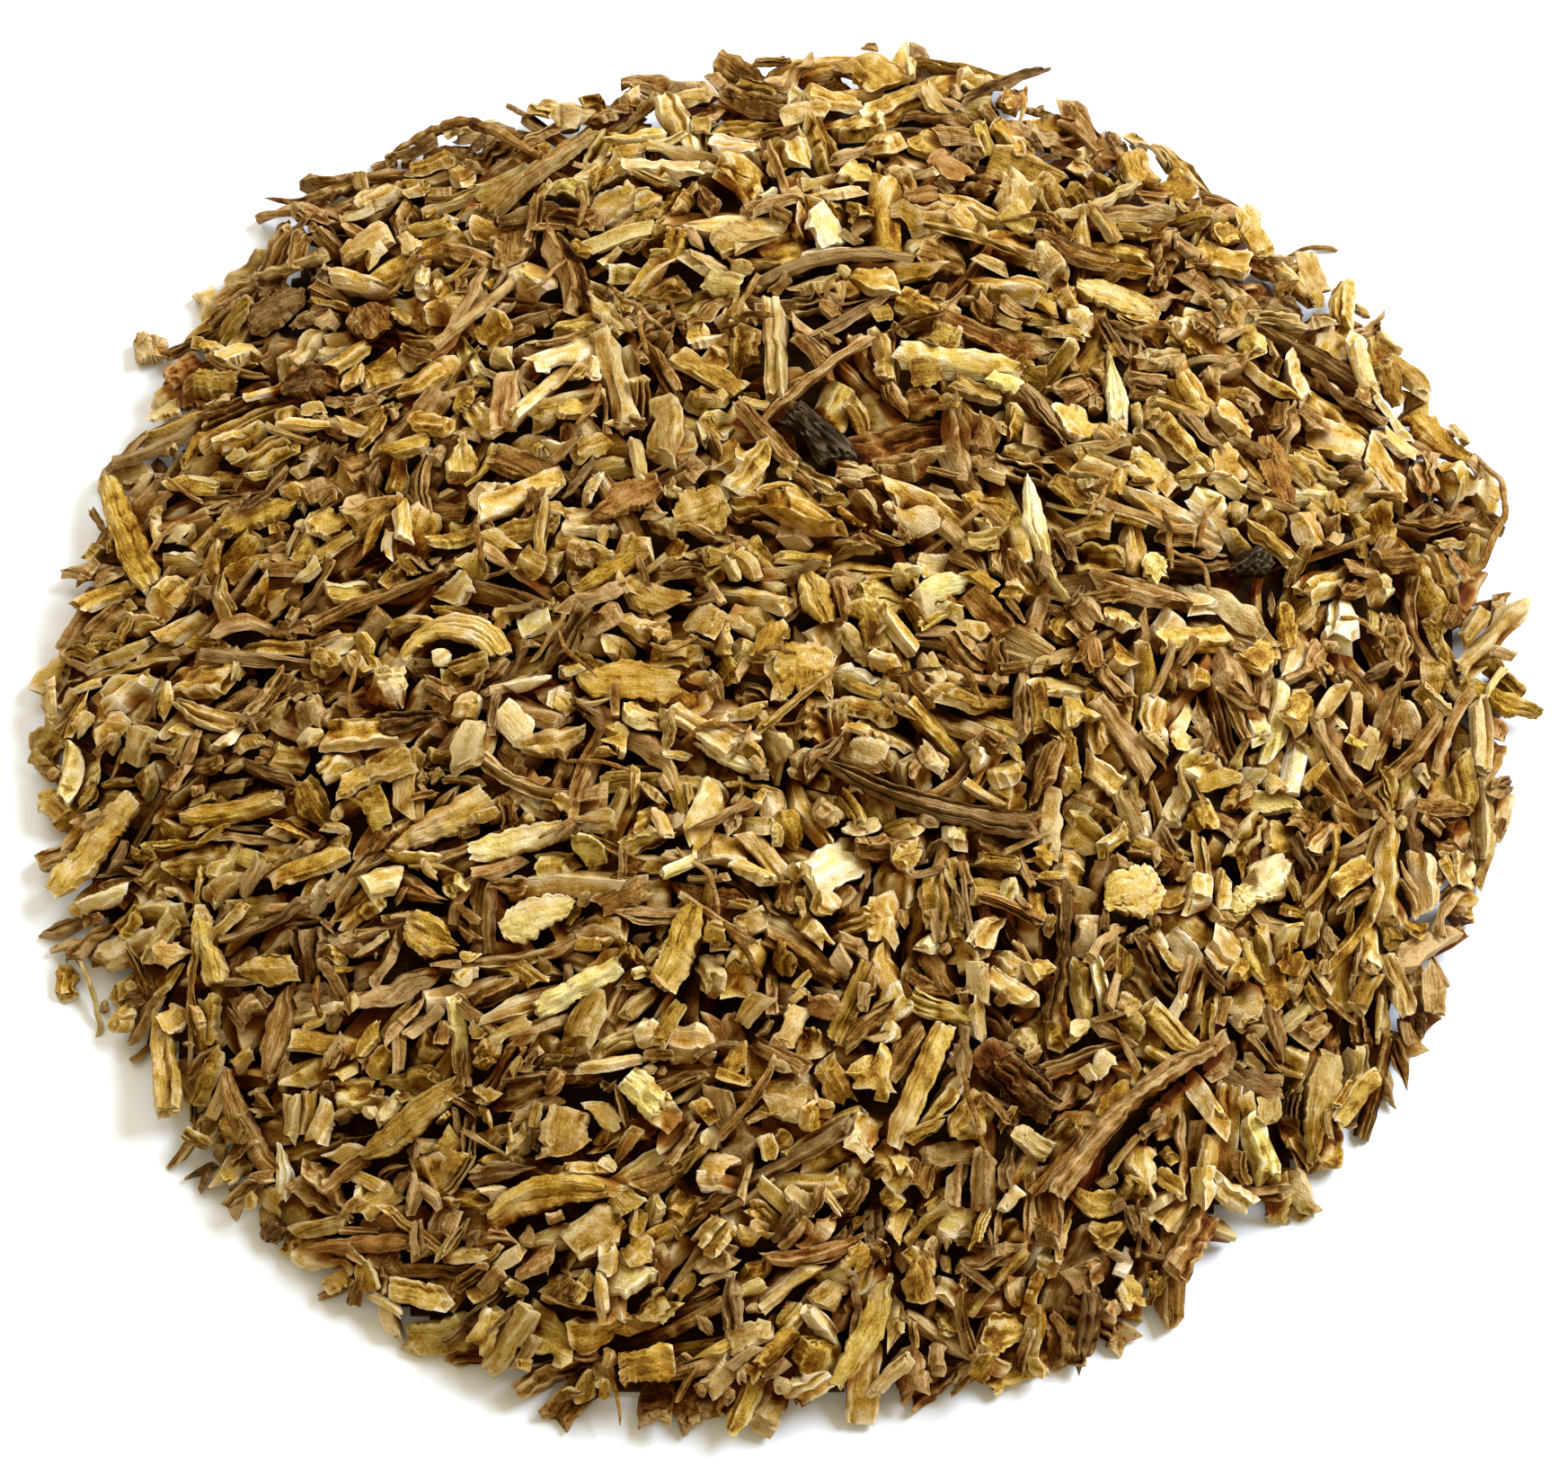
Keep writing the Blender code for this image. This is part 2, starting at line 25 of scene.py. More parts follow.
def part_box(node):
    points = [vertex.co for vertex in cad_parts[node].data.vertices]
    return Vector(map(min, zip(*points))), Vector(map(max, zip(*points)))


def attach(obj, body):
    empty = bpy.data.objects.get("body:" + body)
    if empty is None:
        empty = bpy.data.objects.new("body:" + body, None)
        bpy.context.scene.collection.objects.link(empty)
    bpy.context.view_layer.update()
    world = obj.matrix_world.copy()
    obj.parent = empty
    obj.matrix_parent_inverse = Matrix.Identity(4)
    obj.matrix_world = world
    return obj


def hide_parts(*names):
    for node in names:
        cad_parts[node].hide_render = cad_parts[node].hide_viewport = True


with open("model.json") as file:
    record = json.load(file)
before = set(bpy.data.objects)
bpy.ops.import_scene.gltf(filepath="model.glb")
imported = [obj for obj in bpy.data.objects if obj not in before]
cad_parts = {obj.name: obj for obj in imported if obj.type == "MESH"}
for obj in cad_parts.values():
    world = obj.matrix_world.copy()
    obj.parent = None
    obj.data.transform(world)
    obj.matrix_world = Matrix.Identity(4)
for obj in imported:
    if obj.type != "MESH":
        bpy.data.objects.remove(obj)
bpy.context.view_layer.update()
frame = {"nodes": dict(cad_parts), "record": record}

slots = {part["node"]: part["material_slot"] for part in frame["record"]["subparts"]}

# %% [markdown]
# ## The heap's height, as a map
#
# A poured heap is easiest to think of as a map of heights, one number for each quarter of a
# millimetre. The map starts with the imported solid: rays are dropped on it from above, and the
# result is smoothed, so that the chips in relief even out and only the heap's form stays.
# All sizes from here on are in millimetres, until a mesh is made.

# %% Read the heap's form
MM = 0.001
# The size of the map's cells and half its width, in mm, and how many cells stand under one ray.
CELL = 0.25
HALF = 66.0
COARSE = 2
axis = np.arange(-HALF, HALF, CELL) + CELL / 2
MAP_X, MAP_Y = np.meshgrid(axis, axis, indexing="ij")


def heights_of(node):
    """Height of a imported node's upper side over each place of the map, 0 beside it."""
    mesh = frame["nodes"][node].data
    tree = BVHTree.FromPolygons([v.co for v in mesh.vertices], [p.vertices for p in mesh.polygons])
    coarse = np.zeros((len(axis) // COARSE,) * 2)
    for i, x in enumerate(axis[::COARSE]):
        for j, y in enumerate(axis[::COARSE]):
            hit = tree.ray_cast(Vector((x * MM, y * MM, 1.0)), Vector((0, 0, -1)))[0]
            coarse[i, j] = hit.z / MM if hit else 0.0
    return np.kron(coarse, np.ones((COARSE, COARSE)))


def blurred(field, reach):
    """The map, smoothed over about that many millimetres."""
    k = int(reach / CELL / 2)
    for side in (0, 1):
        for _ in range(3):
            field = np.moveaxis(field, side, 0)
            sums = np.cumsum(np.pad(field, ((k + 1, k), (0, 0)), mode="edge"), axis=0)
            field = np.moveaxis((sums[2 * k + 1:] - sums[:-2 * k - 1]) / (2 * k + 1), 0, side)
    return field


packed = heights_of("small_chips")
inside = (packed > 0).astype(float)
form = blurred(packed, 3.0) / np.maximum(blurred(inside, 3.0), 1e-3) * inside
print("highest", round(form.max(), 1), "mm, covers", round(inside.sum() * CELL**2 / 100, 1), "cm2")

# %% [markdown]
# ## The edge of the poured area
#
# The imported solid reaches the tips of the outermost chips, and a poured heap has no even edge. So
# the loose chips stop a little short of the solid's rim, by an amount that changes from place to
# place. The list gives it every 6 degrees round the heap, anticlockwise from the right, in mm.
# Below 0 they lie that far outside it.

# %% Where loose chips may land
RIM_STOPS = np.array((
    2.0, 1.5, 2.5, 0.0, 1.0, 2.5, 0.0, 2.5, 1.5, 0.5, 1.0, 3.0, -0.5, 0.5, 0.5,
    0.5, 2.5, 1.0, 0.5, 2.0, 0.0, -1.5, -1.0, -0.5, -0.5, 1.0, 0.0, -1.0, 0.5, 1.0,
    -0.5, 0.5, -1.0, -3.5, -1.5, -0.5, -2.5, 0.0, -0.5, -0.5, 0.5, 1.5, 0.0, 0.0, -1.0,
    1.0, 1.0, 1.0, 0.5, -0.5, 0.5, 0.0, 3.0, 0.0, 1.5, 1.0, 0.0, 2.0, 1.0, -0.5,
))
RIM_MIDDLE = (-0.7, -3.6)
# Directions round the heap are counted as the camera sees them, a little flattened.
FORESHORTENING = 0.9
# The blurred heap is 0.5 at the rim and grows inwards by this much for each millimetre.
GROWTH = 0.115
far, right = FORESHORTENING * (MAP_Y - RIM_MIDDLE[1]), MAP_X - RIM_MIDDLE[0]
towards = np.degrees(np.arctan2(far, right)) % 360
stops = np.interp(towards, np.arange(0, 361, 6), np.append(RIM_STOPS, RIM_STOPS[0]))
open_area = blurred(inside, 6.0) > 0.5 + GROWTH * stops
print("chips may land on", round(open_area.sum() * CELL**2 / 100, 1), "cm2")

# %% [markdown]
# ## The shape of a chip
#
# Nearly every chip is a short length of root, so nearly every chip can be a skin drawn over a row
# of rings along its grain. Each ring runs over the chip's top, down one side, back underneath and
# up the other side. `u` says how far across the chip a point lies, from -1 to 1, and `v` whether
# it is on top (1) or underneath (-1).
#
# Split wood shows flat strips that run along the grain and meet in ridges and grooves. So the top
# is divided into strips first, and points stand exactly on the lines between them. The outer
# strips are narrow, because a chip's crisp, worn rims are what the light picks out.


# %% Rings, strips and skins
def ring_of(rng, tops, sides, unders):
    """Where a ring's points lie, across (u) and through (v), and the lines between its strips."""
    lines = np.linspace(1, -1, min(tops, 8))
    lines = (lines + np.sin(lines * np.pi / 2)) / 2
    lines[1:-1] += rng.uniform(-0.09, 0.09, len(lines) - 2)
    top = np.interp(np.linspace(0, 1, tops), np.linspace(0, 1, len(lines)), lines)
    down = np.linspace(1, -1, sides + 2)[1:-1]
    under = np.linspace(-1, 1, unders)
    u = np.concatenate((top, -np.ones(sides), under, np.ones(sides)))
    v = np.concatenate((np.ones(tops), down, -np.ones(unders), -down))
    return u, v, lines


def strips(rng, U, S, lines, zigzag):
    """Heights of the flat strips that run along a chip, mostly between -1 and 1."""
    facets = np.concatenate(((-1,), np.sort(rng.uniform(-0.8, 0.8, 2)), (1,)))
    start = np.interp(-lines, facets, rng.normal(size=4)) + rng.normal(size=len(lines)) * 0.2
    start += zigzag * (-1.0) ** np.arange(len(lines))
    end = start * rng.uniform(0.2, 1.0) + rng.normal(size=len(lines)) * 0.5
    heights = []
    for knots in (start, end):
        knots[0], knots[-1] = knots[1] - 0.9, knots[-2] - 0.9
        heights.append(np.interp(-U, -lines, knots))
    turn = np.clip((S - rng.uniform(0.0, 0.5)) * 1.6, 0, 1)
    return heights[0] * (1 - turn) + heights[1] * turn


@functools.lru_cache(maxsize=None)
def skin(rings, around):
    """Quads and triangles of a skin over rings, with an inner ring and a middle at each end."""
    j = np.arange(around)
    after = (j + 1) % around
    near, far = rings * around, (rings + 1) * around
    quads = []
    for r in range(rings - 1):
        a, b = r * around, (r + 1) * around
        quads.append(np.stack((a + j, a + after, b + after, b + j), axis=1))
    last = (rings - 1) * around
    quads.append(np.stack((j, near + j, near + after, after), axis=1))
    quads.append(np.stack((last + after, far + after, far + j, last + j), axis=1))
    middle = (rings + 2) * around
    start = np.stack((near + j, np.full(around, middle), near + after), axis=1)
    end = np.stack((far + after, np.full(around, middle + 1), far + j), axis=1)
    return np.concatenate(quads), np.concatenate((start, end))


# %% [markdown]
# ## What chopping and drying do
#
# Chopping leaves outlines with a few corners and flat cuts. A cut is simple here: every point
# beyond a plane is pushed back onto it, and that leaves a flat facet with a crisp edge. Root
# breaks rather than cuts across its fibres, so its ends are ragged. Drying then furrows the wood
# along the grain, cups it across, and bends and twists the whole chip.


# %% Cuts, breaks, furrows and bends
def waves(rng, points, length, count=7):
    """A smooth random value, mostly between -1 and 1, with waves of about that length in mm."""
    ways = rng.normal(size=(3, count))
    ways *= rng.uniform(0.55, 1.7, count) * 2 * np.pi / length / np.linalg.norm(ways, axis=0)
    return np.sin(points @ ways + rng.uniform(0, 6.3, count)).sum(axis=1) / count**0.5


def corners(rng, at, count, low):
    """A line with a few corners: values between low and 1 over places from 0 to 1."""
    knots = np.concatenate(((0,), np.sort(rng.uniform(0.08, 0.92, count - 2)), (1,)))
    return np.interp(at, knots, rng.uniform(low, 1, count))


def cut(points, normal, depth, half):
    """Pushes what lies beyond a plane back onto it. Depth is a share of the way to the middle."""
    normal = normal / np.linalg.norm(normal)
    plane = np.abs(normal) @ half * (1 - depth)
    over = np.maximum(points @ normal - plane, 0)
    return points - over[:, None] * normal


def ragged(rng, u, reach, teeth):
    """How far short of its full length a broken end stops, across the chip."""
    across = (u + 1) / 2
    short = reach * corners(rng, across, 4, 0)
    fine = teeth * np.interp(across, np.linspace(0, 1, 11), rng.uniform(0, 1, 11))
    return short - short.min(), fine


def bent(points, length, turn, side):
    """Bends points along x towards y (side 1) or z (side 2) by that many radians."""
    if abs(turn) < 0.02:
        return points
    radius = length / turn
    angle = points[:, 0] / radius
    out = radius - points[:, side]
    moved = points.copy()
    moved[:, 0] = out * np.sin(angle)
    moved[:, side] = radius - out * np.cos(angle)
    return moved


def twisted(points, length, turn):
    """Twists points round x by that many radians over the chip's length."""
    angle = points[:, 0] / length * turn
    c, s = np.cos(angle), np.sin(angle)
    return np.stack((points[:, 0], points[:, 1] * c - points[:, 2] * s,
                     points[:, 1] * s + points[:, 2] * c), axis=1)


# %% [markdown]
# ## Kinds of chip
#
# Each kind is one row of numbers. Sizes are in mm. `waist` is how narrow its outline may get and
# `fray` how uneven, `pointed` how often an end runs to a point, `ends` how far its ends slant and
# `teeth` how far their fibres stand out, `fall` how steeply its top falls off to the sides (below 0
# the edges stand up instead), `furrows` how many grooves run along it and how deep, `ridges` how
# far its strips rise and fall and how strictly by turns, then the cuts along and across the grain,
# and how far drying bent it in plan and in arch, twisted it, cupped it and shrivelled it. The sizes
# follow the sieve: most chips are 3 to 7 mm long and 1.2 to 3 mm wide.

# %% The table of kinds
KINDS = {
    "splinter": dict(share=0.29, length=(3.0, 7.8), width=(1.4, 2.7), thick=(1.1, 1.9), round=0.0,
                     waist=0.66, fray=0.05, pointed=0.18, ends=1.0, teeth=0.35, fall=(0.0, 0.7),
                     furrows=(1, 0.12), ridges=(0.13, 0.0), along=2, across=1, bend=0.22, arch=0.2,
                     twist=0.3, cup=0.06, shrivel=0.05),
    "flake": dict(share=0.22, length=(2.8, 5.6), width=(2.0, 3.8), thick=(0.7, 1.3), round=0.0,
                  waist=0.52, fray=0.07, pointed=0.10, ends=0.8, teeth=0.35, fall=(-0.25, 0.5),
                  furrows=(1, 0.12), ridges=(0.13, 0.0), along=1, across=3, bend=0.12, arch=0.3,
                  twist=0.3, cup=0.16, shrivel=0.06),
    "shard": dict(share=0.22, length=(3.6, 8.2), width=(1.4, 2.8), thick=(1.1, 2.0), round=0.15,
                  waist=0.55, fray=0.10, pointed=0.3, ends=1.2, teeth=0.8, fall=(0.0, 0.5),
                  furrows=(4, 0.25), ridges=(0.12, 0.5), along=0, across=0, bend=0.25, arch=0.25,
                  twist=0.4, cup=0.08, shrivel=0.08),
    "rootlet": dict(share=0.10, length=(4.5, 10.5), width=(0.8, 1.6), thick=(0.8, 1.5), round=0.8,
                    waist=0.6, fray=0.05, pointed=0.3, ends=0.6, teeth=0.4, fall=(0.0, 0.2),
                    furrows=(2, 0.2), ridges=(0.12, 0.4), along=0, across=0, bend=0.6, arch=0.4,
                    twist=1.0, cup=0.0, shrivel=0.12),
    "block": dict(share=0.15, length=(2.2, 4.4), width=(1.8, 3.2), thick=(1.4, 2.3), round=0.0,
                  waist=0.60, fray=0.05, pointed=0.06, ends=0.6, teeth=0.3, fall=(-0.1, 0.6),
                  furrows=(1, 0.10), ridges=(0.12, 0.0), along=3, across=4, bend=0.1, arch=0.15,
                  twist=0.3, cup=0.08, shrivel=0.06),
    "stick": dict(share=0.0, length=(7.0, 14.0), width=(1.6, 2.8), thick=(1.4, 2.0), round=0.5,
                  waist=0.8, fray=0.05, pointed=0.2, ends=0.8, teeth=1.2, fall=(0.0, 0.3),
                  furrows=(6, 0.25), ridges=(0.16, 0.6), along=0, across=0, bend=0.2, arch=0.12,
                  twist=0.4, cup=0.0, shrivel=0.04),
    "crumb": dict(share=0.02, length=(1.8, 3.6), width=(1.5, 2.8), thick=(1.2, 2.2)),
}
# The rings along and the points over, beside and under a chip: buried, half hidden, in view, large.
RESOLUTION = {
    "splinter": ((4, 3, 0, 3), (7, 6, 0, 2), (13, 8, 1, 3), (37, 22, 3, 7)),
    "flake": ((4, 3, 0, 3), (7, 6, 0, 2), (13, 8, 1, 3), (31, 22, 2, 8)),
    "shard": ((4, 4, 0, 3), (7, 7, 0, 2), (13, 8, 1, 3), (37, 22, 3, 7)),
    "rootlet": ((5, 3, 0, 3), (9, 4, 0, 3), (16, 6, 1, 3), (44, 15, 2, 6)),
    "block": ((4, 3, 0, 3), (7, 6, 0, 2), (10, 8, 1, 3), (25, 22, 5, 8)),
    "stick": ((4, 4, 0, 3), (7, 7, 0, 2), (14, 8, 1, 4), (56, 22, 3, 8)),
}


# %% [markdown]
# ## One chip, step by step
#
# A chip starts as a bar with a chosen outline. Its ends are broken, its top falls off to the sides
# and gets strips and furrows, and a cap closes each end. Then a knife takes flat pieces off, and
# drying shrivels, cups, twists and bends what is left. Where each point was just before drying is
# kept, so that the grain of the wood bends with the chip. A few chips are known in outline: they
# take that in place of a random one, with small breaks along it.

# %% The outline of a chip
def outline(rng, places, waist):
    """Half the width of a chip at each place along it, from 0 to 1: straight runs and notches."""
    wide = corners(rng, places, 4, waist)
    return wide - rng.uniform(0, 0.25, len(places)) * (rng.random(len(places)) < 0.2)


def nibbled(rng, places, fine):
    """Small breaks along the edge of a chip that is known in outline, in half widths."""
    breaks = rng.uniform(-0.16, 0.06, 15) * (rng.random(15) < 0.6)
    return np.interp(places, np.linspace(0, 1, 15), breaks) + fine * rng.uniform(-1, 1, len(places))


def half_widths(rng, row, s, places, sides):
    """How far a chip's left and right sides stand out at each ring, in half widths."""
    if sides:
        seven = np.linspace(0, 1, 7)
        right, left = (np.interp(s, seven, side) / 10 + nibbled(rng, s, row["fray"]) for side in sides)
    else:
        left, right = (np.interp(s, places, outline(rng, places, row["waist"]))
                       + row["fray"] * rng.uniform(-1, 1, len(s)) for _ in range(2))
    return left, right


def tapered(rng, row, s, left, right, width):
    """Half the width of each ring and how far it shifts sideways, in mm, with pointed ends."""
    points_to = np.where(rng.random(2) < row["pointed"], rng.uniform(0.08, 0.4, 2), 1.0)
    start = points_to[0] + (1 - points_to[0]) * s / rng.uniform(0.2, 0.6)
    end = points_to[1] + (1 - points_to[1]) * (1 - s) / rng.uniform(0.2, 0.6)
    taper = np.minimum(np.minimum(start, end), 1)
    shift = (right - left) / 2 * width / 2
    return (left + right) / 2 * taper * width / 2, shift + (1 - taper) * rng.uniform(-0.5, 0.5) * width


# %% The ends, the top and the underside
def broken_ends(rng, row, u, V, S, size, rings):
    """Places along a chip, in mm, with ends that slant and whose fibres stand out."""
    length, width, thick = size
    near, near_teeth = ragged(rng, u, row["ends"] * width * rng.random(), row["teeth"] * rng.random())
    far, far_teeth = ragged(rng, u, row["ends"] * width * rng.random(), row["teeth"] * rng.random())
    slant = rng.uniform(-0.5, 0.5, 2) * thick
    x = length * (S - 0.5)
    x += np.tile(near, rings) * (1 - S) ** 2 - np.tile(far, rings) * S**2
    x += (np.tile(near_teeth, rings) + slant[0] * V) * (1 - S) ** 6
    x -= (np.tile(far_teeth, rings) + slant[1] * V) * S**6
    return x


def falling(rng, row, U, S, thick):
    """How far a chip's top falls off to its sides, in mm."""
    peaks, falls = rng.uniform(-0.8, 0.8, 2), rng.uniform(*row["fall"], 2)
    power = rng.choice((1.0, 1.6))
    peak, fall = peaks[0] + (peaks[1] - peaks[0]) * S, falls[0] + (falls[1] - falls[0]) * S
    return fall * thick * 0.6 * np.abs((U - peak) / 1.4) ** power


def furrows(rng, row, U, S, thick, level):
    """How deep the grooves along a chip are at each point of its top, in mm."""
    count, deep = row["furrows"]
    fine = (2.0, 2.0, 1.4, 0.8)[level]
    for _ in range(count + level):
        line = rng.uniform(-0.9, 0.9) + rng.normal() * 0.30 * (S - 0.5)
        run = np.clip(1.6 - np.abs(S - rng.uniform(0, 1)) * rng.uniform(1.0, 3.0), 0, 1)
        groove = np.exp(-(((U - line) / (rng.uniform(0.06, 0.13) * fine)) ** 2)) * run
        yield groove * deep * rng.uniform(0.4, 1.2) * thick


def with_caps(rng, body, around, thick):
    """A chip's rings with an inner ring at each end, and a middle point in that."""
    caps, tips = [], []
    for rim, way in ((body[:around], 1), (body[-around:], -1)):
        middle = rim.mean(axis=0)
        inner = middle + (rim - middle) * 0.6
        inner[:, 0] += way * rng.uniform(-0.1, 0.3, around) * min(thick, 1.0)
        caps.append(inner)
        tips.append(middle + (way * rng.uniform(0, 0.3), 0, 0))
    return np.concatenate((body, *caps, tips))


# %% Knife cuts and drying
def chopped(rng, row, points, size):
    """Flat cuts along the grain and across it."""
    width, thick = size[1:]
    half = np.array(size) / 2
    for _ in range(row["along"]):
        angle = rng.uniform(0, np.pi)
        normal = np.array((rng.uniform(-0.25, 0.25), math.cos(angle) * thick / width, math.sin(angle)))
        points = cut(points, normal, rng.uniform(0.1, 0.42), half)
    for k in range(row["across"]):
        normal = np.array((1 if k % 2 else -1, rng.uniform(-1.5, 1.5), rng.uniform(-0.4, 0.4)))
        points = cut(points, normal, rng.uniform(0.08, 0.32), half)
    return points


def dried(rng, row, points, size, level, bend):
    """The points of a chip once it has shrivelled, cupped, twisted and bent."""
    length, width, thick = size
    shrivel = row["shrivel"] * rng.uniform(0.4, 2.0)
    rough = waves(rng, points * (0.7, 1, 1), 0.9) * 0.5 + waves(rng, points, 2.4) * 0.6
    points[:, 1] += rough * shrivel * width * 0.35
    points[:, 2] += waves(rng, points * (0.7, 1, 1), 1.8) * shrivel * max(thick, 0.8)
    if level == 3:
        fibres, cracks = waves(rng, points * (0.25, 1, 1), 0.5), waves(rng, points * (0.45, 1, 1), 1.1)
        points[:, 2] += 0.04 * fibres + 0.11 * np.minimum(np.abs(cracks), 0.9)
    bow = points[:, 1] / (width / 2)
    points[:, 2] += row["cup"] * rng.normal() * width / 2 * (bow**2 - 0.3)
    points = twisted(points, length, row["twist"] * rng.normal() * 0.8)
    points = bent(points, length, row["arch"] * rng.normal(), 2)
    return bent(points, length, row["bend"] * rng.normal() if bend is None else bend, 1)


def lofted(rng, kind, size, level, bend=None, sides=None):
    """A chip's points in its own axes, x along the grain, with where they were before drying."""
    row = KINDS[kind]
    if sides:
        row = row | dict(pointed=0.0, ends=0.25, along=1, across=0, fray=max(row["fray"], 0.03))
    width, thick = size[1:]
    rings, *ring = RESOLUTION[kind][level]
    u, v, lines = ring_of(rng, *ring)
    around = len(u)
    places = np.linspace(0, 1, min(rings, 7))
    places[1:-1] += rng.uniform(-0.35, 0.35, len(places) - 2) / len(places)
    s = np.interp(np.linspace(0, 1, rings), np.linspace(0, 1, len(places)), places)
    wide, shift = tapered(rng, row, s, *half_widths(rng, row, s, places, sides), width)
    U, V, S = np.tile(u, rings), np.tile(v, rings), np.repeat(s, around)
    y = U * np.repeat(wide, around) + np.repeat(shift, around)
    x = broken_ends(rng, row, u, V, S, size, rings)
    thin = corners(rng, s, 4, 0.7) * (1 - np.abs(2 * s - 1) ** 3 * rng.uniform(0.0, 0.3))
    z = V * thick / 2 * np.repeat(thin, around)
    upper = np.maximum(V, 0)
    z -= falling(rng, row, U, S, thick) * upper
    if row["round"]:
        angle = np.arctan2(z / thick, U)
        y = y * (1 - row["round"]) + np.cos(angle) * np.repeat(wide, around) * row["round"]
        z = z * (1 - row["round"]) + np.sin(angle) * np.repeat(thin, around) * thick / 2 * row["round"]
    height, zigzag = row["ridges"]
    z += height * rng.uniform(0.5, 1.5) * thick * strips(rng, U, S, lines, zigzag) * upper
    for groove in furrows(rng, row, U, S, thick, level):
        z -= groove * upper
    points = with_caps(rng, np.stack((x, y, z), axis=1), around, thick)
    points = chopped(rng, row, points, size)
    side = np.concatenate((np.clip((0.9 - V) * 1.3, 0, 1), np.ones(2 * around + 2)))
    before = points.copy()
    return dried(rng, row, points, size, level, bend), before, skin(rings, around), side


# %% [markdown]
# ## Crumbs
#
# Crumbs of the root's crown have no grain, so rings along one would be wrong for them. A ball is
# broken flat on nine sides and roughened with knobs and pits. On such a small lump that is all
# that shows.

# %% Crumbs
@functools.lru_cache(maxsize=None)
def ball(level):
    """Directions and triangles of a ball made of triangles."""
    bm = bmesh.new()
    bmesh.ops.create_icosphere(bm, subdivisions=level + 1, radius=1.0)
    points = np.array([v.co[:] for v in bm.verts])
    faces = np.array([[v.index for v in f.verts] for f in bm.faces])
    bm.free()
    return points, faces


def lump(rng, size, level):
    """A crumb: a ball with flat breaks, knobs and pits."""
    points, faces = ball((0, 1, 2, 3)[level])
    half = np.array(size) / 2
    points = points * half * 1.1
    points = points * (1 + 0.26 * waves(rng, points, 2.2) + 0.12 * waves(rng, points, 0.8))[:, None]
    for _ in range(9):
        points = cut(points, rng.normal(size=3), rng.uniform(0.25, 0.5), half)
    points = points * (1 + 0.05 * waves(rng, points, 0.6))[:, None]
    return points, points.copy(), (np.zeros((0, 4), int), faces), np.zeros(len(points))


# %% [markdown]
# ## Pouring the chips
#
# Chips could be dropped with rigid-body physics, but a few thousand of them would take hours and
# would settle differently on each computer. A height map does the same work in seconds. For each
# chip, the map under it gives a plane to lie on. The chip takes that tilt, with some of its own,
# and comes down until most of its underside touches. Its upper side then becomes part of the map.
# The next chip goes where the heap is furthest from its form, so the whole fills up evenly.


# %% One chip comes to rest
# The steepest slope that a chip takes from the map under it, as rise over run.
STEEPEST_CHIP = 0.9


def turned(yaw, slope_x, slope_y, roll=0.0, pitch=0.0):
    """The axes of a chip that lies on a slope: columns along, across and up."""
    up = np.array((-slope_x, -slope_y, 1.0))
    up /= np.linalg.norm(up)
    along = np.array((math.cos(yaw), math.sin(yaw), 0.0))
    along -= up * (along @ up)
    along /= np.linalg.norm(along)
    across = np.cross(up, along)
    across, up = (across * math.cos(roll) + up * math.sin(roll),
                  up * math.cos(roll) - across * math.sin(roll))
    along, up = (along * math.cos(pitch) + up * math.sin(pitch),
                 up * math.cos(pitch) - along * math.sin(pitch))
    return np.stack((along, across, up), axis=1)


def column_through(place, axes, half):
    """The part of the map under a chip, with the heights where each column enters and leaves it."""
    reach = np.abs(axes[:2]) @ half
    low = np.maximum(((place[:2] - reach + HALF) / CELL).astype(int), 0)
    high = np.minimum(((place[:2] + reach + HALF) / CELL).astype(int) + 1, len(axis))
    window = slice(low[0], high[0]), slice(low[1], high[1])
    dx, dy = MAP_X[window] - place[0], MAP_Y[window] - place[1]
    enter, leave = np.full(dx.shape, -1e3), np.full(dx.shape, 1e3)
    for k in range(3):
        start = axes[0, k] * dx + axes[1, k] * dy
        rise = axes[2, k] if abs(axes[2, k]) > 1e-3 else 1e-3
        one, two = (-half[k] - start) / rise, (half[k] - start) / rise
        enter, leave = np.maximum(enter, np.minimum(one, two)), np.minimum(leave, np.maximum(one, two))
    return window, enter, leave, enter < leave


def raise_map(heights, window, hit, top):
    """Lifts a map to the upper side of a chip."""
    heights[window] = np.where(hit, np.maximum(heights[window], top), heights[window])


def lower_map(heights, window, hit, under):
    """Brings a map down to the underside of a chip."""
    heights[window] = np.where(hit, np.minimum(heights[window], under), heights[window])


def slope_under(surface, window, hit):
    """Slopes along x and y of the plane that fits the map under a chip."""
    x, y, h = MAP_X[window][hit], MAP_Y[window][hit], surface[window][hit]
    x, y, h = x - x.mean(), y - y.mean(), h - h.mean()
    xx, xy, yy = x @ x + 0.3, x @ y, y @ y + 0.3
    det = xx * yy - xy * xy
    slopes = np.array(((x @ h) * yy - (y @ h) * xy, (y @ h) * xx - (x @ h) * xy)) / det
    return slopes * min(1.0, STEEPEST_CHIP / max(np.hypot(*slopes), 1e-6))


def settle(surface, place, yaw, half, roll=0.0, pitch=0.0, touch=80):
    """A chip's axes, height and columns once it lies on the map, or None beside the map."""
    level_axes = turned(yaw, 0, 0)
    window, _, _, hit = column_through(place, level_axes, half)
    if hit.sum() < 4:
        return None
    axes = turned(yaw, *slope_under(surface, window, hit), roll, pitch)
    window, enter, leave, hit = column_through(place, axes, half)
    if hit.sum() < 4:
        return None
    height = np.percentile((surface[window] - enter)[hit], touch)
    return axes, height, window, height + leave, hit


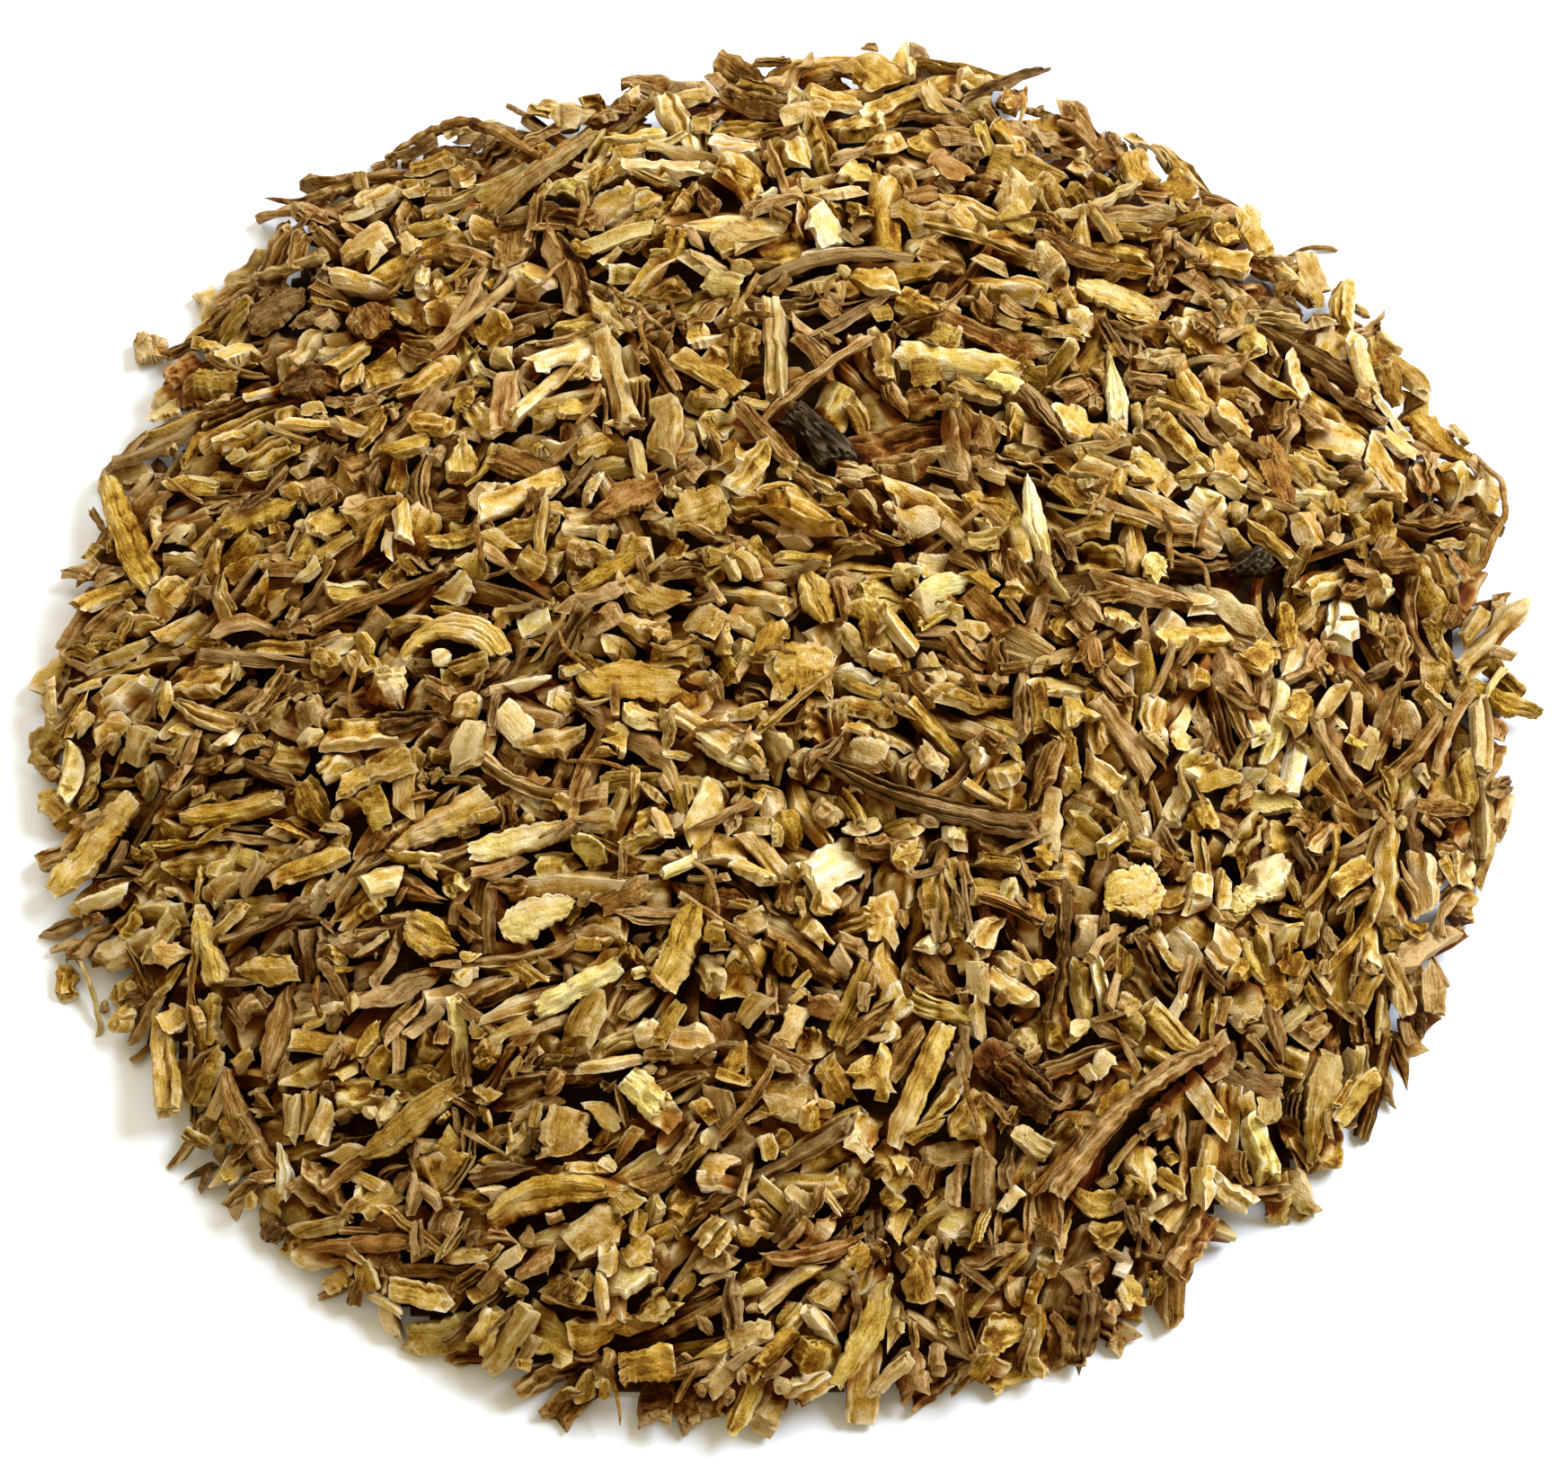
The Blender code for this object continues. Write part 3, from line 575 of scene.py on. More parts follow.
# %% [markdown]
# ## The large chips
#
# Fifty-eight chips lie in full view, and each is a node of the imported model. The lesson gives each
# a fresh skin of its own kind, laid where its node is: the same place, the same size and turn, and
# the tilt of the heap under it. The table repeats what a maker would measure on the real chips:
# kind, turn in degrees, length, width and thickness in mm, how pale it is from 0 to 1, and the bend
# in degrees.
#
# A large chip is seen in full, so its outline counts too. Random notches would make each of them
# just another chip. A second table gives the outline in the way a maker sketches a stick: how far
# its two sides stand out from the middle line, at seven places from end to end.

# %% The table of large chips
LARGE = {
    "long_dark_splinter": ("stick", -17, 18.6, 2.8, 2.0, 0.84, 14),
    "long_brown_stick": ("stick", 47, 14.1, 2.2, 1.7, 0.62, -8),
    "ridged_dark_chunk": ("stick", -40, 7.5, 3.8, 2.4, 0.50, 0),
    "left_gold_wedge": ("splinter", -65, 13.2, 2.7, 1.7, 0.52, 16),
    "gold_slab": ("splinter", 8, 7.5, 3.0, 1.3, 0.62, 0),
    "pale_round_stick": ("splinter", 28, 9.4, 2.8, 1.9, 0.75, 12),
    "cream_stick": ("splinter", 11, 7.5, 2.4, 1.7, 0.78, 0),
    "left_gold_slab": ("splinter", 3, 8.7, 2.3, 1.6, 0.70, 6),
    "left_rim_slab": ("splinter", 40, 9.6, 3.4, 1.4, 0.72, 0),
    "grained_gold_block": ("splinter", 67, 7.0, 2.7, 1.7, 0.60, 0),
    "cream_bar": ("splinter", 28, 7.4, 2.0, 1.3, 0.74, 8),
    "gold_upright_low": ("splinter", -83, 8.4, 2.3, 1.9, 0.75, 0),
    "gold_upright_high": ("splinter", -77, 6.6, 2.3, 1.7, 0.68, 0),
    "tan_bent_stick": ("splinter", -66, 9.2, 1.9, 1.5, 0.6, 28),
    "bark_backed_slab": ("splinter", 33, 9.1, 2.8, 1.6, 0.6, 0),
    "pale_fork": ("splinter", -75, 11.2, 1.9, 1.4, 0.90, 14),
    "pale_spindle": ("splinter", -87, 8.2, 2.0, 1.5, 0.78, 0),
    "pale_green_slab": ("splinter", -13, 7.3, 2.7, 1.2, 0.66, 0),
    "dark_slab_right": ("splinter", -25, 9.7, 1.8, 1.4, 0.3, 0),
    "right_rim_wedge": ("splinter", -35, 5.8, 2.6, 1.5, 0.45, 0),
    "jutting_right_chip": ("splinter", -14, 7.2, 2.3, 1.3, 0.70, 0),
    "long_gold_bar": ("splinter", 66, 10.2, 2.3, 1.7, 0.65, 0),
    "long_yellow_leaf": ("splinter", 59, 9.2, 2.8, 1.3, 0.68, 10),
    "russet_splinter": ("splinter", 2, 8.6, 1.7, 1.3, 0.5, 0),
    "gold_point": ("splinter", 27, 6.8, 1.8, 1.3, 0.6, 0),
    "pale_needle": ("splinter", -27, 6.2, 1.3, 1.1, 0.95, 0),
    "olive_bar": ("splinter", 64, 6.6, 1.7, 1.4, 0.5, 0),
    "curled_pale_slice": ("flake", -5, 10.0, 2.5, 1.5, 0.75, -140),
    "gold_curved_stub": ("splinter", 14, 11.0, 2.5, 2.0, 0.66, -52),
    "square_slice": ("flake", 0, 5.8, 5.0, 0.8, 0.68, 0),
    "amber_slice": ("flake", 19, 4.8, 4.2, 0.9, 0.5, 0),
    "olive_slice": ("flake", 23, 5.6, 4.0, 0.9, 0.7, 0),
    "white_flake": ("flake", 19, 5.5, 2.5, 0.6, 1.00, 0),
    "ruffled_flake": ("flake", -2, 8.6, 3.7, 0.8, 0.55, 0),
    "cream_flake": ("flake", 19, 6.4, 3.2, 0.8, 0.80, 0),
    "white_shard": ("flake", 43, 7.4, 3.6, 0.9, 0.95, 0),
    "tan_tile": ("flake", 27, 5.4, 4.2, 1.2, 0.72, 0),
    "tan_long_flake": ("flake", -97, 9.4, 2.6, 0.9, 0.8, 0),
    "russet_slab_left": ("flake", 25, 6.6, 2.7, 0.9, 0.5, 0),
    "russet_slab_right": ("flake", -82, 6.5, 2.7, 1.0, 0.5, 0),
    "dark_brown_block": ("block", 4, 5.3, 4.2, 2.4, 0.5, 0),
    "wrinkled_brown_chunk": ("block", -58, 6.0, 3.8, 2.2, 0.5, 0),
    "pale_cube": ("block", 17, 4.1, 3.5, 2.6, 0.80, 0),
    "pale_tooth": ("block", -94, 4.6, 2.7, 2.0, 0.75, 0),
    "outlying_block": ("block", 11, 3.1, 2.9, 2.4, 0.95, 0),
    "rim_brown_block": ("block", -4, 6.0, 3.0, 2.0, 0.5, 0),
    "gold_lobe": ("block", -68, 5.0, 3.0, 1.6, 0.6, 0),
    "striped_chip": ("stick", 20, 4.6, 2.3, 1.3, 0.90, 0),
    "yellow_cube": ("block", 21, 2.9, 2.7, 2.0, 0.75, 0),
    "gold_wrinkled_block": ("block", -23, 5.4, 3.8, 2.2, 0.7, 0),
    "cream_brick": ("block", -43, 5.5, 2.9, 2.2, 0.75, 0),
    "gold_stump": ("block", -79, 5.8, 3.2, 2.6, 0.6, 0),
    "bottom_lump": ("block", 7, 4.6, 3.6, 2.6, 0.5, 0),
    "black_crumb_large": ("crumb", -48, 6.6, 3.6, 2.4, 0.4, 0),
    "black_crumb_right": ("crumb", 34, 4.2, 3.0, 2.2, 0.4, 0),
    "long_curved_root": ("rootlet", -136, 19.0, 1.9, 1.9, 0.70, 34),
    "grey_upright_twig": ("rootlet", -93, 11.6, 1.5, 1.5, 0.5, -10),
    "brown_root_left": ("rootlet", 14, 12.1, 1.4, 1.4, 0.5, -16),
}
# How far each side of a chip stands out from its middle line, in tenths of half its width, at seven
# places from its left end to its right end: first the far side, then the near side.
SIDES = {
    "long_dark_splinter": ((-1, 1, 0, 1, 2, 5, 10), (4, 8, 10, 10, 9, 9, 5)),
    "long_brown_stick": ((7, 8, 7, 7, 8, 10, 9), (9, 10, 9, 8, 6, 2, -2)),
    "ridged_dark_chunk": ((6, 8, 7, 8, 8, 7, 5), (7, 8, 7, 8, 8, 8, 6)),
    "left_gold_wedge": ((3, 7, 9, 10, 10, 10, 7), (3, 9, 10, 8, 10, 9, 6)),
    "gold_slab": ((5, 10, 6, 10, 8, 5, 0), (6, 9, 10, 10, 10, 9, 6)),
    "pale_round_stick": ((1, 6, 9, 10, 9, 9, 7), (2, 4, 5, 7, 9, 10, 8)),
    "cream_stick": ((6, 9, 9, 10, 10, 8, 6), (8, 10, 10, 9, 8, 7, 5)),
    "left_gold_slab": ((2, 7, 8, 7, 8, 9, 7), (3, 8, 9, 10, 10, 9, 8)),
    "left_rim_slab": ((5, 8, 6, 9, 9, 10, 8), (6, 9, 10, 8, 6, 5, 4)),
    "grained_gold_block": ((7, 9, 8, 8, 9, 7, 4), (8, 10, 9, 8, 8, 6, 4)),
    "cream_bar": ((6, 9, 9, 10, 10, 9, 7), (8, 10, 9, 8, 8, 9, 8)),
    "gold_upright_low": ((5, 9, 9, 9, 10, 10, 8), (7, 9, 10, 9, 9, 10, 9)),
    "gold_upright_high": ((5, 8, 8, 7, 9, 10, 7), (4, 7, 10, 8, 6, 8, 7)),
    "tan_bent_stick": ((4, 7, 9, 10, 10, 9, 7), (4, 8, 9, 8, 8, 9, 7)),
    "bark_backed_slab": ((2, 5, 7, 8, 10, 9, 8), (3, 8, 10, 9, 7, 5, 3)),
    "pale_fork": ((2, 8, 9, 7, 4, 2, 5), (1, 5, 10, 6, 5, 5, 0)),
    "pale_spindle": ((1, 3, 7, 9, 10, 9, 5), (3, 4, 7, 8, 8, 9, 8)),
    "pale_green_slab": ((3, 7, 10, 10, 10, 8, 4), (3, 7, 9, 10, 10, 9, 6)),
    "dark_slab_right": ((1, 3, 5, 8, 10, 10, 8), (6, 8, 9, 10, 9, 10, 7)),
    "right_rim_wedge": ((4, 8, 10, 9, 8, 6, 4), (6, 9, 10, 10, 9, 8, 4)),
    "jutting_right_chip": ((8, 10, 8, 8, 9, 8, 4), (6, 8, 5, 8, 10, 5, 2)),
    "long_gold_bar": ((6, 9, 9, 10, 10, 10, 8), (7, 9, 10, 9, 9, 8, 7)),
    "long_yellow_leaf": ((1, 4, 6, 7, 9, 10, 6), (8, 10, 10, 9, 6, 1, -4)),
    "russet_splinter": ((2, 6, 7, 9, 8, 10, 6), (4, 8, 10, 8, 9, 7, 5)),
    "gold_point": ((5, 7, 9, 10, 10, 8, 1), (7, 9, 10, 9, 9, 6, 1)),
    "pale_needle": ((1, 7, 10, 10, 9, 6, 1), (1, 6, 9, 10, 9, 6, 1)),
    "olive_bar": ((8, 10, 9, 9, 10, 9, 9), (8, 9, 9, 10, 9, 9, 9)),
    "curled_pale_slice": ((3, 5, 7, 8, 9, 10, 7), (2, 5, 6, 8, 10, 9, 7)),
    "gold_curved_stub": ((4, 8, 9, 10, 9, 7, 3), (4, 7, 9, 10, 9, 8, 3)),
    "square_slice": ((5, 9, 10, 9, 10, 8, 5), (10, 9, 7, 7, 7, 9, 10)),
    "amber_slice": ((3, 8, 9, 7, 8, 9, 6), (4, 7, 9, 10, 10, 8, 3)),
    "olive_slice": ((4, 8, 9, 8, 10, 8, 5), (5, 9, 10, 10, 9, 7, 3)),
    "white_flake": ((1, 6, 9, 10, 8, 4, 1), (5, 9, 10, 10, 8, 6, 2)),
    "ruffled_flake": ((2, 6, 9, 10, 8, 5, 3), (4, 9, 8, 10, 9, 10, 8)),
    "cream_flake": ((3, 8, 10, 10, 9, 7, 2), (5, 10, 10, 8, 7, 5, 1)),
    "white_shard": ((3, 4, 6, 5, 10, 10, 7), (2, 5, 4, 6, 10, 8, 3)),
    "tan_tile": ((1, 7, 10, 9, 9, 8, 6), (1, 5, 8, 9, 10, 9, 4)),
    "tan_long_flake": ((6, 9, 10, 8, 6, 5, 2), (5, 9, 10, 9, 8, 4, 1)),
    "russet_slab_left": ((1, 4, 8, 10, 8, 7, 5), (3, 8, 8, 9, 10, 10, 7)),
    "russet_slab_right": ((3, 7, 9, 10, 8, 9, 6), (5, 8, 10, 9, 10, 7, 5)),
    "dark_brown_block": ((6, 8, 10, 9, 8, 7, 5), (5, 8, 9, 10, 10, 9, 7)),
    "wrinkled_brown_chunk": ((3, 7, 8, 10, 9, 8, 5), (5, 8, 10, 9, 9, 7, 5)),
    "pale_cube": ((3, 9, 10, 10, 8, 7, 6), (3, 6, 9, 10, 10, 8, 5)),
    "pale_tooth": ((1, 5, 7, 9, 10, 10, 8), (1, 3, 6, 8, 10, 10, 9)),
    "outlying_block": ((6, 9, 10, 10, 10, 9, 7), (8, 10, 10, 9, 10, 9, 8)),
    "rim_brown_block": ((9, 10, 9, 7, 5, 4, 2), (2, 5, 8, 9, 10, 10, 8)),
    "gold_lobe": ((5, 9, 10, 9, 7, 8, 5), (4, 8, 9, 10, 10, 7, 4)),
    "striped_chip": ((7, 10, 9, 10, 10, 9, 7), (7, 9, 10, 9, 9, 10, 8)),
    "yellow_cube": ((8, 10, 10, 9, 9, 9, 6), (8, 9, 10, 10, 10, 9, 6)),
    "gold_wrinkled_block": ((6, 9, 10, 9, 8, 6, 2), (5, 8, 9, 10, 9, 6, 2)),
    "cream_brick": ((8, 10, 10, 9, 9, 8, 7), (8, 9, 9, 10, 10, 10, 9)),
}
print("large chips:", len(LARGE), " known in outline:", len(SIDES))

# %% [markdown]
# ## Room for the large chips
#
# The loose chips have to stay below the large ones, or these would vanish under them. A second map,
# the ceiling, says how high a loose chip may reach at each place. A large chip fills its box from
# end to end, but seldom from side to side, so the ceiling comes down inside its outline only, and
# its neighbours lie against that.

# %% The ceiling
STEEPEST_HEAP = 0.42
RIM_HEIGHT = 2.6
slope_x, slope_y = np.gradient(form, CELL)
steep = np.maximum(np.hypot(slope_x, slope_y) / STEEPEST_HEAP, 1.0)
slope_x, slope_y = slope_x / steep, slope_y / steep
# 1 at the rim, where chips lie on the floor and on one another's ends, and 0 on the heap.
at_rim = np.exp(-((form / RIM_HEIGHT) ** 2))
lid = form + 2.4 + 0.8 * at_rim
ceiling = lid.copy()
covered = np.zeros(form.shape, bool)
chips = []


def cell_of(x, y):
    """The cell of the map at a place in mm."""
    return int((x + HALF) / CELL), int((y + HALF) / CELL)


def covered_by(chip):
    """The columns of the map that a large chip really covers, inside its outline."""
    length, width = chip["size"][:2]
    packing = (0.93, 0.80, 1.0) if chip["kind"] == "rootlet" else (0.97, 1.0, 1.0)
    window, enter, leave, hit = column_through(chip["place"], chip["axes"], chip["size"] / 2 * packing)
    if chip["sides"]:
        dx, dy = MAP_X[window] - chip["place"][0], MAP_Y[window] - chip["place"][1]
        along, across = (chip["axes"][0, k] * dx + chip["axes"][1, k] * dy for k in (0, 1))
        far, near = (np.interp(along / length + 0.5, np.linspace(0, 1, 7), side) / 20 * width
                     for side in chip["sides"])
        hit = hit & (across < far) & (across > -near)
    return window, enter, leave, hit


def reach_of(node, middle, axes):
    """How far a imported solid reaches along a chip's axes, from the middle."""
    co = np.array([v.co[:] for v in frame["nodes"][node].data.vertices]) / MM
    own = (co - middle) @ axes
    return own.min(axis=0), own.max(axis=0)


for name, (kind, turn, length, width, thick, pale, bend) in LARGE.items():
    low, high = (np.array(corner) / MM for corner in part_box(name))
    middle = (low + high) / 2
    where = cell_of(*middle[:2])
    tilt = (slope_x[where], slope_y[where]) if inside[where] else (0, 0)
    axes = turned(math.radians(turn), *tilt)
    chips.append(dict(name=name, kind=kind, size=np.array((length, width, thick)), place=middle,
                      axes=axes, pale=pale, finish=slots[name], level=3, bend=math.radians(bend),
                      sides=SIDES.get(name), fit=reach_of(name, middle, axes)))
    window, enter, _, hit = covered_by(chips[-1])
    lower_map(ceiling, window, hit, middle[2] + enter + 0.2)
    covered[window] |= hit
print("room kept for the large chips on", round(covered.sum() * CELL**2 / 100, 1), "cm2")

# %% [markdown]
# ## The bed and the loose chips
#
# Under the top layers lies what nobody sees: the heap's inside. One lumpy bed, a few millimetres
# below the surface, carries the loose chips; its dark finish is painted shade where it shows between
# them. It ends short of the rim, where the real heap is one chip deep and has gaps between its chips.
#
# The chips come down in four rounds: first those that lie under the large chips and all around
# them, then some forty that the eye remembers, each at its own place, for which the first round
# leaves room, then smaller ones that fill the pits and lean on the large chips' ends, and last
# the debris, about a millimetre across, that has trickled into the gaps.

# %% What the loose chips are made of
FINISH_SHARES = {
    "splinter": {"gold": 0.34, "straw": 0.17, "olive": 0.20, "bark": 0.22, "russet": 0.03,
                 "cream": 0.04},
    "flake": {"gold": 0.35, "straw": 0.21, "olive": 0.23, "bark": 0.13, "russet": 0.04, "cream": 0.04},
    "shard": {"bark": 0.50, "olive": 0.22, "gold": 0.14, "umber": 0.10, "russet": 0.04},
    "rootlet": {"bark": 0.64, "olive": 0.14, "umber": 0.17, "russet": 0.05},
    "block": {"gold": 0.38, "straw": 0.18, "olive": 0.23, "bark": 0.16, "russet": 0.02, "cream": 0.03},
    "crumb": {"umber": 0.38, "olive": 0.35, "gold": 0.12, "bark": 0.15},
}
DEBRIS_SHARES = {"bark": 0.50, "olive": 0.24, "umber": 0.14, "gold": 0.08, "straw": 0.04}

# %% The table of remembered chips
# Kind, finish, then x, y, turn in degrees, length and width.
REMEMBERED = (
    ("flake", "olive", -27.8, 44.7, 6, 4.5, 2.4), ("splinter", "gold", -47.5, 34.4, -74, 7.4, 2.7),
    ("splinter", "straw", -16.5, 27.6, 7, 4.9, 2.4), ("flake", "russet", -25.6, -6.1, 30, 4.1, 3.1),
    ("crumb", "russet", -3.0, 6.5, -57, 3.9, 3.6), ("rootlet", "bark", 14.1, -2.5, -12, 10.7, 1.6),
    ("shard", "cream", 25.2, 14.1, 25, 6.6, 3.8), ("crumb", "soot", 44.8, 10.9, -83, 4.2, 2.4),
    ("block", "cream", 36.7, 13.9, 74, 3.3, 1.9), ("block", "straw", 20.0, 34.2, -9, 2.4, 2.6),
    ("block", "olive", 16.2, 58.4, -20, 3.9, 2.5), ("block", "gold", -39.0, -17.6, 1, 4.9, 3.3),
    ("flake", "olive", -40.5, -21.1, 4, 5.3, 2.8), ("block", "cream", -10.1, -22.3, 11, 3.4, 3.2),
    ("block", "straw", -31.8, -27.1, -11, 3.1, 2.8), ("block", "straw", -32.8, -36.4, 16, 3.7, 3.3),
    ("shard", "olive", -34.9, -39.6, 22, 8.0, 2.4), ("block", "straw", -26.1, -42.9, -70, 4.7, 3.0),
    ("splinter", "russet", -29.6, -45.4, 0, 6.2, 2.4), ("shard", "bark", -25.2, -49.4, -6, 8.2, 1.7),
    ("crumb", "bark", -20.4, -42.1, -3, 2.0, 2.0), ("block", "straw", -7.6, -45.1, 47, 3.6, 3.4),
    ("block", "straw", -3.8, -46.4, -42, 3.9, 3.6), ("rootlet", "bark", 13.1, -13.2, 46, 6.1, 1.4),
    ("flake", "cream", 38.0, -13.2, -6, 4.8, 2.8), ("block", "straw", 27.0, -16.2, 15, 3.0, 2.9),
    ("flake", "gold", 11.6, -23.0, -65, 4.1, 3.4), ("flake", "olive", 15.4, -22.1, 16, 3.1, 2.8),
    ("rootlet", "umber", 17.3, -20.9, -15, 10.4, 1.1), ("splinter", "straw", 22.6, -29.4, -79, 5.5, 1.7),
    ("flake", "russet", 11.6, -28.3, -69, 4.8, 2.4), ("flake", "straw", 8.0, -31.7, 56, 4.6, 3.7),
    ("crumb", "olive", 35.1, -28.9, 13, 4.0, 3.4), ("splinter", "gold", 43.6, -23.5, -126, 7.9, 1.5),
    ("splinter", "bark", 45.8, -33.6, -103, 9.0, 1.7), ("crumb", "umber", 43.2, -36.6, 8, 2.1, 2.1),
    ("splinter", "olive", 29.7, -44.5, -120, 5.1, 2.4), ("block", "cream", 26.8, -49.0, -96, 4.1, 2.6),
    ("block", "straw", 12.9, -46.5, -20, 4.3, 3.6), ("splinter", "gold", 15.0, -51.9, 8, 5.0, 2.4),
    ("rootlet", "bark", 13.1, -55.1, -36, 10.0, 1.9), ("shard", "straw", 16.8, -53.7, 20, 5.1, 3.4),
    ("splinter", "bark", -3.9, -56.2, 17, 10.9, 1.6),
)

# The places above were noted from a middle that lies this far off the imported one.
SHIFT = np.array((-0.67, 0.10))
remembered = []
for kind, finish, x, y, turn, length, width in REMEMBERED:
    thick = min(width * 0.75, np.mean(KINDS[kind]["thick"]))
    remembered.append(dict(kind=kind, finish=finish, size=np.array((length, width, thick)),
                           place=np.array((x, y)) + SHIFT, yaw=math.radians(turn)))
print("remembered chips:", len(remembered))

# %% The bed
BED_DEPTH = 3.0
POUR_SEED = 23
rng = np.random.default_rng(POUR_SEED)
lumps = blurred(rng.normal(size=form.shape), 1.2)
bed = np.maximum(form - np.minimum(BED_DEPTH, 0.3 + form * 0.65) + lumps / lumps.std() * 0.3, 0)
# The far and the right rim are looser, so the bed ends further in there.
far_rim = (MAP_Y > 18) | (MAP_X > 46)
bed = bed * inside * (blurred(inside * open_area, 3.0) > np.where(far_rim, 0.97, 0.72))
aim = form + 0.45 + 1.0 * at_rim
surface = bed.copy()
print("the bed reaches", round(bed.max(), 1), "mm, the chips' tops aim for", round(aim.max(), 1), "mm")

# %% [markdown]
# ## Streams
#
# Poured root slides, and while it slides its long chips turn the same way. So the heap has streams
# in which most chips lie alike. A few places on the heap and the way most chips lie there are
# enough: between them the way is a blend, in which the nearer places count more. A chip's two ends
# are the same to a stream, so the blend adds doubled angles.

# %% The way chips lie
# Places in mm, each with the way most chips lie there, in degrees.
STREAMS = np.array((
    (-45, 5, 18), (-35, -32, 32), (-10, -42, 35), (12, -48, 60), (36, -28, 98), (48, 0, 70),
    (42, 25, 150), (12, 40, 158), (-25, 42, 15), (12, 8, 150), (-8, -12, 165), (12, -22, 110),
))
STREAM_REACH = 16.0


def stream_at(place):
    """The way most chips lie at a place, in radians, and how strongly they keep to it."""
    weight = np.exp(-((STREAMS[:, :2] - place) ** 2).sum(axis=1) / STREAM_REACH**2)
    way = np.radians(STREAMS[:, 2]) * 2
    x, y = weight @ np.cos(way), weight @ np.sin(way)
    return math.atan2(y, x) / 2, math.hypot(x, y) / (weight.sum() + 0.2)


print("streams:", len(STREAMS))

# %% [markdown]
# ## One chip after another
#
# A chip tries a few turns and keeps the one in which it sinks lowest, as a shaken chip would. One
# in six stands on edge. If too much of it would rise above the ceiling, it isn't laid at all.
#
# The rounds differ in the size of their chips, in how high they aim, and in how many places they
# look at before they choose the lowest. Sifted root also parts by size as it is poured, and the
# coarser chips end up at the far side of this heap.

# %% Lay one chip
# Outlines are broken, so neighbours lie closer than their full sizes would let them.
PACKING = np.array((0.84, 0.82, 0.95))
ON_EDGE = 0.17


def lay(kind, finish, size, place, yaws, allowed, loose=1.0):
    """Lays one chip where it sinks lowest of the given turns, and adds it to the map."""
    lying = []
    for yaw in yaws:
        edgewise = rng.random() < ON_EDGE * loose
        roll = rng.normal() * 0.32 * loose + (rng.uniform(0.6, 1.4) if edgewise else 0)
        found = settle(surface, place, yaw, size / 2 * PACKING, roll, rng.normal() * 0.27 * loose)
        if found:
            lying.append(found)
    if not lying:
        return False
    axes, height, window, top, hit = min(lying, key=lambda found: found[1])
    if (top[hit] > ceiling[window][hit]).mean() > allowed:
        return False
    raise_map(surface, window, hit, top)
    chips.append(dict(kind=kind, size=size, place=np.array((*place, height)), axes=axes,
                      finish=finish, pale=rng.random(), bend=None, level=2))
    return True


# %% Pour one round
# A place counts as full when it lacks less than this, in mm.
NEARLY_FULL = 0.3
# The share of a chip that may rise above the ceiling.
TOO_HIGH = 0.06
HEAP_RADIUS = 55
NEAR_SIZE = 0.97
FAR_GAIN = 0.24
kinds = [kind for kind in KINDS if KINDS[kind]["share"]]
kind_shares = np.array([KINDS[kind]["share"] for kind in kinds])


def shares_with(more, others=1.0):
    """The shares of the kinds in a round that has more of some and less of the others."""
    return kind_shares * [more.get(kind, others) for kind in kinds]


def coarseness(place):
    """How much larger than their row's numbers chips are at a place: most at the far right."""
    far_out = np.clip((place[0] * 0.4 + place[1]) / HEAP_RADIUS, 0, 1)
    return NEAR_SIZE + FAR_GAIN * far_out


def pour(count, wanted, scale, tries, cells, shares, finishes=None):
    """Drops chips where the heap is furthest below its aim, until it is nowhere far below."""
    poured = 0
    for _ in range(count):
        spots = cells[rng.integers(len(cells), size=tries)]
        lack = aim[spots[:, 0], spots[:, 1]] + wanted - surface[spots[:, 0], spots[:, 1]]
        if lack.max() < NEARLY_FULL:
            continue
        place = axis[spots[lack.argmax()]]
        kind = rng.choice(kinds, p=shares / shares.sum())
        row = KINDS[kind]
        size = scale * np.array([low + (high - low) * rng.random()**1.5
                                 for low, high in (row["length"], row["width"], row["thick"])])
        size *= coarseness(place)
        finish_shares = finishes or FINISH_SHARES[kind]
        finish = rng.choice(list(finish_shares), p=list(finish_shares.values()))
        way, strength = stream_at(place)
        yaws = way + rng.vonmises(0, 1.3 * strength, 3) / 2 + np.pi * rng.integers(0, 2, 3)
        poured += lay(kind, finish, size, place, yaws, TOO_HIGH)
    return poured


# %% Pour the heap
for chip in remembered:
    where = cell_of(*chip["place"])
    axes = turned(chip["yaw"], slope_x[where], slope_y[where])
    middle = np.array((*chip["place"], aim[where] - chip["size"][2] / 2 + 0.2))
    window, enter, _, hit = column_through(middle, axes, chip["size"] / 2)
    lower_map(ceiling, window, hit, middle[2] + enter)

started = time.time()
first = pour(2900, wanted=0.0, scale=1.25, tries=16, cells=np.argwhere(open_area),
             shares=kind_shares)
for chip in chips[:len(LARGE)]:
    window, _, leave, hit = covered_by(chip)
    raise_map(surface, window, hit, chip["place"][2] + leave)
ceiling = lid
known = 0
for chip in remembered:
    if not covered[cell_of(*chip["place"])]:
        known += lay(chip["kind"], chip["finish"], chip["size"], chip["place"], [chip["yaw"]],
                     allowed=1.0, loose=0.2)
open_cells = np.argwhere(open_area & ~covered)
fillers = shares_with({"block": 1.4, "flake": 1.4, "shard": 1.2}, others=0.7)
second = pour(1500, wanted=-0.9, scale=0.86, tries=30, cells=open_cells, shares=fillers)
debris = shares_with({"shard": 2.0, "crumb": 4.0, "block": 0.5})
third = pour(1000, wanted=-1.0, scale=0.52, tries=60, cells=open_cells, shares=debris,
             finishes=DEBRIS_SHARES)
print("poured", first, known, second, third, "chips in", round(time.time() - started, 1), "s")
